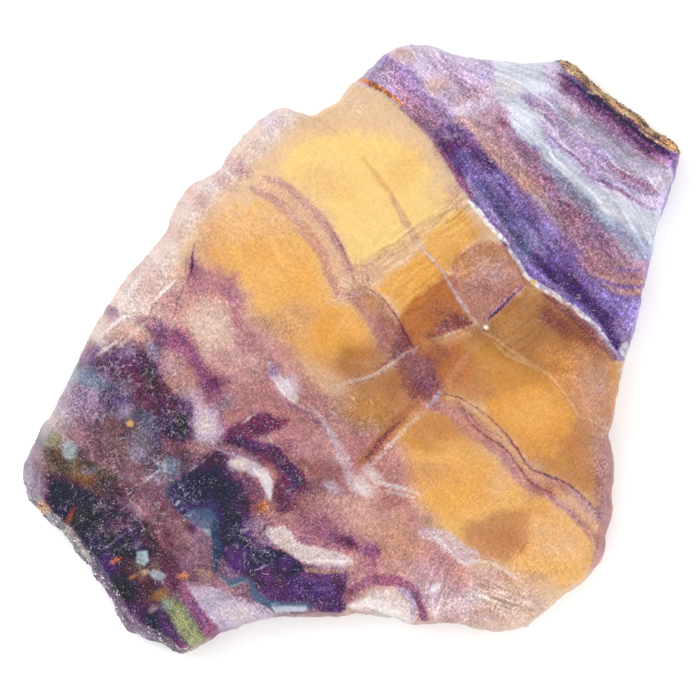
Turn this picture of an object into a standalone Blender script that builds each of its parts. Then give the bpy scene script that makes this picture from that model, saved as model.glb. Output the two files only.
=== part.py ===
"""A polished slice of banded fluorite: one flat stone with sawn and polished faces and a broken rim.

Metres, +Z up. The slice lies on its lower face, with the origin at the centre of its box, at the base.
"""

import math

import bmesh
import bpy
from mathutils import Matrix, Vector, noise

MM = 0.001

# Driving dimensions
THICKNESS = 6.5 * MM  # between the two polished faces
GIRTH_HEIGHT = 0.42  # share of the thickness at which the stone is widest
FOOT_WIDTH = 1.1 * MM  # how far the lower polished face stays inside the widest line
RIM_PITCH = 1.15 * MM  # distance between points along the rim
RIM_ROUGHNESS = 0.30 * MM  # how far the broken surface wanders in and out
CRUST_ROUGHNESS = 0.55 * MM  # the same where the host rock's crust is still on the stone
RIM_LEVELS = (0.0, 0.07, 0.22, 0.42, 0.62, 0.80, 0.94, 1.0)  # shares of the thickness

# The widest line of the stone, clockwise from above, in millimetres: x, y, and the width of the
# slope between that line and the upper polished face.
RIM = {
    "top_bump": [(3.8, 40.5, 0.8), (6.0, 42.1, 0.8), (8.5, 42.8, 1.0), (11.1, 42.6, 0.8),
                 (13.3, 41.6, 0.7), (15.5, 40.9, 0.7)],
    "top_edge": [(19.5, 40.5, 0.7), (23.7, 40.1, 0.7), (27.2, 40.2, 0.7), (29.5, 40.5, 1.0)],
    "upper_crust": [(31.5, 39.8, 1.4), (33.3, 38.1, 1.5), (35.1, 36.4, 1.5), (37.9, 34.6, 1.4),
                    (40.5, 32.6, 1.4), (42.1, 30.7, 1.4), (44.4, 29.8, 1.3), (45.6, 28.6, 0.8)],
    "right_edge": [(46.1, 27.3, 0.6), (45.4, 24.8, 0.6), (44.2, 20.9, 0.6), (42.8, 16.0, 0.6),
                   (41.7, 11.6, 0.6), (40.7, 7.1, 0.6), (39.8, 2.7, 0.6), (38.8, -1.0, 0.6),
                   (38.2, -2.5, 0.6)],
    "right_waist": [(37.5, -6.0, 0.7), (36.7, -10.2, 0.7), (36.1, -12.5, 0.8)],
    "right_shoulder": [(36.7, -13.7, 1.3), (37.0, -16.7, 1.5), (36.5, -20.0, 1.5),
                       (36.5, -23.1, 1.5), (35.8, -25.3, 1.4), (35.8, -27.4, 1.4),
                       (35.3, -29.5, 1.3)],
    "lower_right": [(34.0, -31.4, 1.1), (32.3, -33.2, 1.1), (31.1, -33.9, 1.1),
                    (29.0, -35.3, 1.1), (26.5, -37.4, 1.1), (24.2, -39.1, 1.1),
                    (21.6, -39.6, 1.1)],
    "bottom_edge": [(18.1, -39.3, 1.0), (14.6, -38.6, 0.8), (10.4, -38.5, 0.8),
                    (8.0, -38.6, 0.8), (6.3, -37.8, 0.8), (2.9, -37.3, 0.8), (-0.1, -37.0, 0.8),
                    (-1.5, -37.5, 0.8), (-4.9, -37.4, 0.8), (-8.0, -37.7, 0.8),
                    (-9.9, -37.6, 0.8), (-11.9, -38.4, 1.0), (-15.5, -39.1, 1.0),
                    (-18.1, -39.9, 1.0), (-20.0, -41.2, 1.0), (-21.8, -42.0, 1.0)],
    "bottom_tip": [(-23.7, -42.8, 1.1), (-25.3, -41.9, 1.5), (-27.2, -40.9, 1.7)],
    "lower_crust": [(-29.0, -40.5, 2.0), (-31.2, -39.2, 2.1), (-32.9, -37.0, 2.0),
                    (-34.6, -33.9, 2.0), (-36.0, -31.8, 2.0), (-36.5, -30.7, 2.0),
                    (-38.5, -28.4, 2.0), (-40.7, -25.8, 2.0), (-43.0, -23.8, 1.8),
                    (-44.5, -22.0, 1.8)],
    "left_nose": [(-45.5, -20.0, 2.2), (-46.1, -17.6, 3.1), (-45.6, -15.7, 2.8),
                  (-44.5, -13.9, 2.0)],
    "left_edge": [(-43.3, -11.3, 1.5), (-41.6, -8.5, 1.5), (-40.5, -6.0, 1.5),
                  (-39.3, -3.5, 1.7), (-37.9, -0.6, 1.8), (-36.4, 2.2, 2.0), (-34.7, 5.0, 2.1),
                  (-32.9, 7.7, 2.2), (-31.2, 10.2, 2.4)],
    "upper_left_steps": [(-29.3, 12.3, 2.4), (-27.4, 14.7, 2.2), (-26.3, 16.0, 2.1),
                         (-25.3, 18.5, 2.0), (-23.9, 21.0, 2.0), (-22.5, 22.8, 1.8),
                         (-20.9, 23.9, 1.7), (-18.5, 25.3, 1.4), (-17.2, 27.2, 1.5),
                         (-15.1, 29.7, 1.5), (-12.5, 32.2, 1.5), (-10.5, 33.6, 1.3),
                         (-8.3, 33.6, 1.1)],
    "upper_left_notch": [(-6.6, 33.1, 1.0), (-5.6, 32.6, 0.8), (-3.8, 33.5, 0.7),
                         (-1.8, 34.7, 0.8), (-0.3, 36.7, 0.8), (1.5, 38.1, 0.8)],
}
CRUSTED = ("upper_crust", "lower_crust")

# Shell-shaped scoops where flakes have broken away: centre, radii and turn about Z, in
# millimetres and degrees. Heights are measured from the base.
LARGE_SCAR = 6.5  # a scar with a radius over this gets the finer of the two cutters
FLAKE_SCARS = {
    "lower_right_long": ((27.8, -38.4, 9.0), (10.5, 5.8, 4.0), 35),
    "lower_right_small": ((17.2, -41.0, 8.9), (7.2, 6.0, 3.9), 0),
    "lower_right_under": ((33.5, -34.2, 0.2), (6.5, 3.2, 2.6), 45),
    "right_shoulder_bite": ((38.6, -14.4, 5.6), (2.6, 3.4, 3.2), 0),
    "right_under": ((43.8, 9.0, 1.0), (2.6, 7.5, 3.0), -13),
    "band_foot_chip": ((39.9, -0.4, 7.6), (2.6, 2.2, 2.2), 20),
    "top_bump_chip": ((7.8, 43.6, 7.4), (3.4, 2.2, 2.4), 10),
    "top_edge_under": ((21.5, 42.2, 0.6), (8.0, 2.9, 2.7), -3),
    "notch_scoop": ((-5.4, 35.0, 6.2), (4.2, 2.6, 3.6), 12),
    "step_scoop_high": ((-19.4, 27.2, 6.6), (3.6, 3.2, 3.0), 45),
    "step_scoop_low": ((-27.8, 18.0, 5.4), (4.4, 2.8, 3.4), 55),
    "left_edge_under": ((-40.6, 2.2, 0.4), (8.5, 3.2, 2.8), 58),
    "left_shoulder_scar": ((-35.2, 9.8, 8.4), (8.0, 3.4, 3.2), 56),
    "nose_hollow": ((-47.6, -13.4, 4.4), (2.8, 3.4, 2.6), 20),
    "tip_chip": ((-23.2, -44.6, 5.2), (3.2, 2.6, 3.0), 30),
    "bottom_bay": ((-0.6, -38.9, 6.6), (3.4, 2.2, 2.8), 0),
    "bottom_bay_left": ((-11.0, -39.8, 3.4), (4.6, 2.4, 3.4), -12),
    "bottom_under": ((-17.5, -42.2, 0.6), (6.5, 2.6, 2.6), -16),
}

# Flat cleavage breaks that slice the rim: a point on the break and the way out of the stone,
# both in millimetres, and the half-width of the break.
CLEAVAGE_BREAKS = {
    "upper_left_first": ((-21.6, 23.9, 3.2), (-0.62, 0.70, -0.36), 4.0),
    "upper_left_second": ((-14.6, 30.6, 4.4), (-0.66, 0.62, 0.42), 4.5),
    "upper_left_third": ((-26.5, 16.6, 3.0), (-0.80, 0.46, -0.38), 4.0),
    "right_waist_break": ((37.2, -8.0, 2.2), (0.93, 0.05, -0.37), 5.5),
    "lower_right_break": ((31.6, -33.8, 3.6), (0.60, -0.70, 0.38), 3.6),
    "bottom_break": ((10.2, -38.2, 2.4), (0.05, -0.92, -0.39), 5.0),
}
BREAK_DEPTH = 3.0  # how far a break's cutting block reaches outwards, in millimetres

HONEY = (0.78, 0.42, 0.16, 1.0)
POLISH_ROUGHNESS = 0.12
FLUORITE_IOR = 1.434


def clear_scene():
    for obj in list(bpy.data.objects):
        bpy.data.objects.remove(obj, do_unlink=True)


def make_origin():
    """The empty that carries the stone and its cutters, so that they move as one."""
    origin = bpy.data.objects.new("slice_origin", None)
    bpy.context.scene.collection.objects.link(origin)
    return origin


def make_collection(name):
    collection = bpy.data.collections.new(name)
    bpy.context.scene.collection.children.link(collection)
    return collection


def fluorite_material():
    material = bpy.data.materials.new("fluorite")
    material.use_nodes = True
    shader = material.node_tree.nodes["Principled BSDF"]
    shader.inputs["Base Color"].default_value = HONEY
    shader.inputs["Roughness"].default_value = POLISH_ROUGHNESS
    shader.inputs["IOR"].default_value = FLUORITE_IOR
    return material


def rim_corners():
    """The stated points of the rim in metres: place, slope width and how rough the rim is there."""
    corners = []
    for stretch, points in RIM.items():
        roughness = CRUST_ROUGHNESS if stretch in CRUSTED else RIM_ROUGHNESS
        corners += [(Vector((x, y, 0)) * MM, slope * MM, roughness) for x, y, slope in points]
    return corners


def catmull_rom(a, b, c, d, t):
    """The point at t on a smooth curve that passes through b and c."""
    return 0.5 * (2 * b + (c - a) * t + (2 * a - 5 * b + 4 * c - d) * t**2
                  + (3 * b - a - 3 * c + d) * t**3)


def rim_stations():
    """Evenly spaced stations along the smoothed rim: place, slope width, roughness, way out."""
    corners = rim_corners()
    count = len(corners)
    stations = []
    for i in range(count):
        a, b, c, d = (corners[(i + k) % count] for k in (-1, 0, 1, 2))
        steps = max(1, round((c[0] - b[0]).length / RIM_PITCH))
        for step in range(steps):
            t = step / steps
            place = catmull_rom(a[0], b[0], c[0], d[0], t)
            stations.append((place, b[1] + (c[1] - b[1]) * t, b[2] + (c[2] - b[2]) * t))
    ways = []
    for i in range(len(stations)):
        along = stations[(i + 2) % len(stations)][0] - stations[i - 2][0]
        ways.append(Vector((-along.y, along.x, 0)).normalized())
    return [(*station, way) for station, way in zip(stations, ways)]


def inset_at(level, slope):
    """How far inside the widest line the rim stands at this share of the thickness."""
    if level < GIRTH_HEIGHT:
        return FOOT_WIDTH * (1 - level / GIRTH_HEIGHT) ** 1.6
    return slope * ((level - GIRTH_HEIGHT) / (1 - GIRTH_HEIGHT)) ** 1.7


def broken_offset(place, level, roughness):
    """The in-and-out wander of the broken rim, which dies out at the two polished faces."""
    at = (place + Vector((0, 0, level * THICKNESS))) / MM
    wander = noise.fractal(at * 0.16, 0.9, 2.1, 3) + 0.45 * noise.cell(at * 0.33)
    hold = 0.35 + 0.65 * math.sin(math.pi * min(max(level, 0.0), 1.0))
    return roughness * hold * (wander - 0.25)


def make_blank(collection, origin, material):
    """The stone before flakes break off: a loft of rings between the two polished faces."""
    stations = rim_stations()
    bm = bmesh.new()
    rings = []
    for level in RIM_LEVELS:
        ring = []
        for place, slope, roughness, outward in stations:
            reach = broken_offset(place, level, roughness) - inset_at(level, slope)
            ring.append(bm.verts.new(place + outward * reach + Vector((0, 0, level * THICKNESS))))
        rings.append(ring)
    count = len(stations)
    for lower, upper in zip(rings, rings[1:]):
        for i in range(count):
            j = (i + 1) % count
            bm.faces.new((lower[i], upper[i], upper[j], lower[j]))
    bm.faces.new(rings[0])
    bm.faces.new(rings[-1])
    bmesh.ops.recalc_face_normals(bm, faces=bm.faces)
    mesh = bpy.data.meshes.new("fluorite_slice")
    bm.to_mesh(mesh)
    bm.free()
    mesh.materials.append(material)
    stone = bpy.data.objects.new("fluorite_slice", mesh)
    stone.parent = origin
    collection.objects.link(stone)
    return stone


def add_cutter(name, bm, size, collection, origin):
    """Turn a unit shape into a named cutter of this size, hidden from renders."""
    bmesh.ops.transform(bm, matrix=Matrix.Diagonal((*(MM * extent for extent in size), 1)), verts=bm.verts)
    mesh = bpy.data.meshes.new(name)
    bm.to_mesh(mesh)
    bm.free()
    cutter = bpy.data.objects.new(name, mesh)
    cutter.parent = origin
    cutter.hide_render = True
    cutter.display_type = "WIRE"
    collection.objects.link(cutter)
    return cutter


def make_scar_cutter(name, centre, radii, turn, collection, origin):
    """An ellipsoid that leaves a shell-shaped scoop."""
    bm = bmesh.new()
    bmesh.ops.create_icosphere(bm, subdivisions=4 if max(radii) > LARGE_SCAR else 3, radius=1)
    cutter = add_cutter(name, bm, radii, collection, origin)
    cutter.location = Vector(centre) * MM
    cutter.rotation_euler = (0, 0, math.radians(turn))


def make_break_cutter(name, point, outward, half_width, collection, origin):
    """A block whose inner face is one flat cleavage break."""
    bm = bmesh.new()
    bmesh.ops.create_cube(bm, size=1)
    size = (2 * half_width, 2 * half_width, BREAK_DEPTH)
    cutter = add_cutter(name, bm, size, collection, origin)
    way = Vector(outward).normalized()
    cutter.location = (Vector(point) + way * BREAK_DEPTH / 2) * MM
    cutter.rotation_euler = way.to_track_quat("Z", "Y").to_euler()


def break_flakes_off(stone, cutters):
    cut = stone.modifiers.new("flakes", "BOOLEAN")
    cut.operation = "DIFFERENCE"
    cut.operand_type = "COLLECTION"
    cut.collection = cutters
    cut.solver = "EXACT"


def centre_on_base(stone, origin):
    """Move everything so that the finished stone's box has its base centre at the world origin."""
    finished = stone.evaluated_get(bpy.context.evaluated_depsgraph_get())
    corners = [finished.matrix_world @ Vector(corner) for corner in finished.bound_box]
    lows = Vector([min(corner[axis] for corner in corners) for axis in range(3)])
    highs = Vector([max(corner[axis] for corner in corners) for axis in range(3)])
    middle = (lows + highs) / 2
    origin.location = (-middle.x, -middle.y, -lows.z)


def main():
    clear_scene()
    origin = make_origin()
    parts = make_collection("fluorite slice")
    cutters = make_collection("cutters")
    stone = make_blank(parts, origin, fluorite_material())
    for name, (centre, radii, turn) in FLAKE_SCARS.items():
        make_scar_cutter(name, centre, radii, turn, cutters, origin)
    for name, (point, outward, half_width) in CLEAVAGE_BREAKS.items():
        make_break_cutter(name, point, outward, half_width, cutters, origin)
    break_flakes_off(stone, cutters)
    centre_on_base(stone, origin)


main()
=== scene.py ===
import math

import bmesh
import bpy
import numpy as np
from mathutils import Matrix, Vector, geometry, noise


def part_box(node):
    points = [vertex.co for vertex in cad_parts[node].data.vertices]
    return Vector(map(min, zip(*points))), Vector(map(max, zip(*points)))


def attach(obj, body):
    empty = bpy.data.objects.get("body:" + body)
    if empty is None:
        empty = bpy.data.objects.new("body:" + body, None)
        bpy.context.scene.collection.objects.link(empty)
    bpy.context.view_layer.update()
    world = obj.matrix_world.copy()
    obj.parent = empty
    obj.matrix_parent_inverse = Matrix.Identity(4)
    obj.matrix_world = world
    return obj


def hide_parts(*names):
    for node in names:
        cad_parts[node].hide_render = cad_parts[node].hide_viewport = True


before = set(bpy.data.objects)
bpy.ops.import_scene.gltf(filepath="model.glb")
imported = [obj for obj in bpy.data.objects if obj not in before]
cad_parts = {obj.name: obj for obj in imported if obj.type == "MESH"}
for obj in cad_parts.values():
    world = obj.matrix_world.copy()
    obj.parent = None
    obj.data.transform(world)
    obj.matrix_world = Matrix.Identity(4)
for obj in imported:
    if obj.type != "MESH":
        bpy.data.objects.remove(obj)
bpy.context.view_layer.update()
mm = 0.001
lowCorner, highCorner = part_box("fluorite_slice")
thickness = (highCorner[2] - lowCorner[2]) / mm  # in mm, like every size below
print("frame loaded, stone", round(thickness, 2), "mm thick")


def smoothStep(low, high, value):
    t = np.clip((value - low) / (high - low), 0.0, 1.0)
    return t * t * (3 - 2 * t)


# Smooth noise, about -1 to 1, with one bump a unit
def gradientNoise(x, y, seed):
    cellX = np.floor(x).astype(np.int64)
    cellY = np.floor(y).astype(np.int64)
    restX = x - cellX
    restY = y - cellY

    def corner(stepX, stepY):
        mixed = (cellX + stepX) * 374761393 + (cellY + stepY) * 668265263 + seed * 1274126177
        mixed = ((mixed ^ (mixed >> 13)) * 1103515245) & 0x7FFFFFFF
        angle = ((mixed ^ (mixed >> 16)) & 0xFFFF) / 65536 * 2 * math.pi
        return np.cos(angle) * (restX - stepX) + np.sin(angle) * (restY - stepY)

    alongX = restX * restX * (3 - 2 * restX)
    alongY = restY * restY * (3 - 2 * restY)
    low = corner(0, 0) * (1 - alongX) + corner(1, 0) * alongX
    high = corner(0, 1) * (1 - alongX) + corner(1, 1) * alongX
    return 1.5 * (low * (1 - alongY) + high * alongY)


# Layers of noise: the first has bumps of this size in mm, each next one half that
def fractal(x, y, size, octaves, seed):
    total = np.zeros(len(x))
    weight = 1.0
    for octave in range(octaves):
        total += weight * gradientNoise(x / size, y / size, seed + octave)
        weight *= 0.55
        size /= 2.03
    return total


# the stone's mesh

stone = {
    "rimPitch": 0.5,       # mm between points on the broken rim
    "finePitch": 0.2,      # between points on the upper face, of which a quarter stay where it is calm
    "basePitch": 0.9,      # on the lower face
    "contrast": 19.0,      # colour step between neighbours, of 255, over which the fine points stay
    "clear": 0.6,          # share of the pitch kept free next to the edge of a face
    "relaxRounds": 2,      # smoothing that takes the flat facets off the scoops
    "relief": 0.13,        # how far the broken surface's grain stands in and out
    "groove": 0.12,        # how deep strokes named pits sink the upper face
    "pits": 0.05,          # how deep its dusty parts are pitted
}


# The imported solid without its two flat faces, in mm
def openRim():
    bm = bmesh.new()
    bm.from_mesh(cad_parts["fluorite_slice"].data)
    bmesh.ops.scale(bm, vec=(1 / mm, 1 / mm, 1 / mm), verts=bm.verts)
    bmesh.ops.remove_doubles(bm, verts=bm.verts, dist=0.0002)
    flat = [f for f in bm.faces
            if all(v.co.z > thickness - 0.002 for v in f.verts) or all(v.co.z < 0.002 for v in f.verts)]
    bmesh.ops.delete(bm, geom=flat, context="FACES")
    bmesh.ops.delete(bm, geom=[v for v in bm.verts if not v.link_faces], context="VERTS")
    return bm


# Halve the long edges until none is much over the pitch
def refineRim(bm):
    for _ in range(5):
        long = [e for e in bm.edges if e.calc_length() > 1.3 * stone["rimPitch"]]
        if not long:
            break
        bmesh.ops.subdivide_edges(bm, edges=long, cuts=1)
        bmesh.ops.triangulate(bm, faces=[f for f in bm.faces if len(f.verts) > 3])


# Relax the facets, then raise the grain of the broken surface, which dies out at the two faces
def roughenRim(bm):
    inner = [v for v in bm.verts if not v.is_boundary]
    for _ in range(stone["relaxRounds"]):
        bmesh.ops.smooth_vert(bm, verts=inner, factor=0.5,
                              use_axis_x=True, use_axis_y=True, use_axis_z=True)
    bm.normal_update()
    moves = []
    for v in inner:
        wander = noise.fractal(v.co * 0.9, 0.8, 2.2, 3) + 0.6 * noise.cell(v.co * 0.7) - 0.3
        hold = min(1.0, 2.5 * v.co.z, 2.5 * (thickness - v.co.z))
        moves.append(v.normal * (stone["relief"] * hold * wander))
    for v, move in zip(inner, moves):
        v.co += move
        v.co.z = min(max(v.co.z, 0.02), thickness - 0.02)


# The rim's open edge at the upper or the lower face, in order
def edgeLoop(bm, upper):
    edges = [e for e in bm.edges if e.is_boundary and (e.verts[0].co.z > thickness / 2) == upper]
    loop = []
    edge = edges[0]
    v = edge.verts[0]
    seen = set()
    while edge and edge not in seen:
        seen.add(edge)
        edge.smooth = False
        loop.append(v)
        v = edge.other_vert(v)
        edge = next((e for e in v.link_edges if e.is_boundary and e not in seen), None)
    return loop


# Which points lie inside a closed line, and how far each is from it
def insideLoop(loop, x, y):
    inside = np.zeros(len(x), bool)
    away = np.full(len(x), 1e9)
    for (ax, ay), (bx, by) in zip(loop, np.roll(loop, -1, axis=0)):
        if ay != by:
            inside ^= ((ay > y) != (by > y)) & (x < (bx - ax) * (y - ay) / (by - ay) + ax)
        near = np.flatnonzero((abs(x - ax) < 2) & (abs(y - ay) < 2))
        away[near] = np.minimum(away[near], np.hypot(x[near] - ax, y[near] - ay))
    return inside, away


# A net of equal triangles over the whole stone, by row and column, and which quarter of it is the open net
def lattice(pitch):
    rowPitch = pitch * math.sqrt(3) / 2
    halfRows = int(47 / rowPitch)
    halfColumns = int(50 / pitch)
    row, column = np.mgrid[-halfRows:halfRows + 1, -halfColumns:halfColumns + 1]
    openNet = (row % 2 == 0) & ((column + row // 2) % 2 == 0)
    return (column + 0.5 * (row % 2)) * pitch, row * rowPitch, openNet


# How far the colour changes between each point of a net and its neighbours
def contrast(x, y, inside):
    painting = Painting(x[inside], y[inside])
    paintBands(painting)
    colour = np.zeros((*x.shape, 3))
    colour[inside] = painting.layers[:, :3]
    change = np.zeros(x.shape)
    for axis in (0, 1):
        for step in (-1, 1):
            other = np.roll(colour, step, axis)
            both = inside & np.roll(inside, step, axis)
            change = np.maximum(change, both * abs(colour - other).max(axis=2))
    for axis in (0, 1):
        change = np.maximum(change, np.maximum(np.roll(change, 1, axis), np.roll(change, -1, axis)))
    return change


# Close the rim with a net of points: fine where the pattern is busy, open where it is calm
def fillFace(bm, upper):
    loop = edgeLoop(bm, upper)
    line = np.array([(v.co.x, v.co.y) for v in loop])
    pitch = stone["finePitch"] if upper else stone["basePitch"]
    x, y, openNet = lattice(pitch)
    inside, away = insideLoop(line, x.ravel(), y.ravel())
    inside = inside.reshape(x.shape)
    keep = inside & (away.reshape(x.shape) > stone["clear"] * (2 if upper else 1) * pitch)
    if upper:
        keep &= openNet | (contrast(x, y, inside) > stone["contrast"])
    spots = [Vector(p) for p in line] + [Vector(p) for p in zip(x[keep], y[keep])]
    sides = [(i, (i + 1) % len(loop)) for i in range(len(loop))]
    places, _, faces, cameFrom, _, _ = geometry.delaunay_2d_cdt(spots, sides, [], 1, 1e-5)
    level = thickness if upper else 0.0
    verts = []
    for place, origins in zip(places, cameFrom):
        known = origins and origins[0] < len(loop)
        verts.append(loop[origins[0]] if known else bm.verts.new((place.x, place.y, level)))
    for face in faces:
        corners = [verts[i] for i in (face if upper else reversed(face))]
        bm.faces.new(corners)
    print("upper face" if upper else "lower face", int(keep.sum()), "points")


# paint: soft clouds, patches with an outline, and bands along a curve, all in tenths of a millimetre

# red, green and blue as they look in daylight, then how clear and how grainy that part of the stone is
palette = {
    "butter": (254, 216, 140, 0.5, 0.08),
    "honey": (246, 188, 112, 0.55, 0.15),
    "gold": (238, 168, 82, 0.6, 0.17),
    "amber": (224, 156, 92, 0.65, 0.16),
    "toffee": (198, 138, 90, 0.6, 0.16),
    "umber": (172, 106, 68, 0.6, 0.2),
    "apricot": (241, 203, 162, 0.6, 0.13),
    "peach": (231, 199, 180, 0.5, 0.3),
    "shell": (236, 217, 212, 0.5, 0.3),
    "rose": (204, 148, 142, 0.45, 0.4),
    "salmon": (214, 162, 148, 0.5, 0.35),
    "mauve": (176, 122, 134, 0.4, 0.4),
    "brick": (166, 108, 104, 0.5, 0.4),
    "plum": (146, 88, 118, 0.4, 0.75),
    "magenta": (154, 90, 124, 0.4, 0.6),
    "grape": (118, 76, 112, 0.35, 0.7),
    "violet": (124, 100, 157, 0.4, 0.7),
    "iris": (150, 133, 194, 0.4, 0.7),
    "indigo": (82, 62, 110, 0.35, 0.9),
    "ink": (56, 30, 72, 0.3, 0.55),
    "navy": (66, 66, 94, 0.3, 1),
    "teal": (80, 92, 122, 0.4, 0.4),
    "steel": (138, 150, 174, 0.4, 0.4),
    "ice": (206, 208, 224, 0.25, 0.15),
    "milk": (232, 226, 226, 0.15, 0.1),
    "cream": (234, 216, 194, 0.15, 0.2),
    "lilac": (208, 190, 214, 0.3, 0.3),
    "lavender": (180, 168, 204, 0.35, 0.4),
    "heather": (160, 130, 164, 0.35, 0.6),
    "smoke": (164, 156, 176, 0.35, 0.35),
    "olive": (110, 94, 80, 0.25, 1),
    "rust": (196, 120, 74, 0, 1),
    "orange": (226, 150, 90, 0.1, 0.7),
    "bark": (76, 62, 58, 0.1, 1.15),
    "sage": (150, 160, 156, 0.2, 0.5),
    "white": (252, 250, 250, 0.1, 0.1),
    "fawn": (196, 146, 118, 0.5, 0.4),
    "damson": (124, 88, 108, 0.4, 0.95),
    "crust": (204, 162, 120, 0, 1),
    "frost": (194, 196, 210, 0.25, 0.18),
    "petrol": (84, 100, 128, 0.4, 0.25),
    "mist": (178, 196, 206, 0.3, 0.2),
    "fern": (156, 166, 112, 0.3, 0.5),
    "gloam": (82, 54, 92, 0.3, 0.9),
    "abyss": (52, 70, 94, 0.35, 0.6),
    "maroon": (148, 92, 84, 0.5, 0.45),
    "pearl": (204, 190, 200, 0.2, 0.15),
    "ochre": (208, 146, 76, 0.65, 0.14),
    "russet": (180, 106, 60, 0.6, 0.22),
    "sand": (204, 160, 136, 0.5, 0.32),
    "dusk": (136, 100, 128, 0.35, 0.8),
    "wine": (92, 48, 76, 0.35, 0.9),
    "clay": (160, 118, 130, 0.4, 0.6),
}

brush = {
    "wobble": 0.22,     # mm that the bands wander
    "fray": 0.55,       # how ragged the soft edges are
    "glow": 0.35,       # share that a glow lightens
    "shade": 0.40,      # share that a shade darkens
    "stir": 0.20,       # how far the grainy parts turn lighter and darker from spot to spot
    "tint": 0.06,       # how far they turn rosier and bluer
}


# A line through all the points, rounded between them
def smoothCurve(points, closed, steps):
    points = np.array(points, float)
    if closed:
        ring = np.vstack([points[-1:], points, points[:2]])
    else:
        ring = np.vstack([2 * points[:1] - points[1:2], points, 2 * points[-1:] - points[-2:-1]])
    t = (np.arange(steps) / steps)[:, None]
    spans = []
    for i in range(len(ring) - 3):
        a, b, c, d = ring[i:i + 4]
        spans.append(0.5 * (2 * b + (c - a) * t + (2 * a - 5 * b + 4 * c - d) * t**2
                            + (3 * b - a - 3 * c + d) * t**3))
    spans.append(points[:1] if closed else points[-1:])
    return np.vstack(spans)


def tenths(values):
    return np.array(values, float) / 10    # in mm


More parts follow.
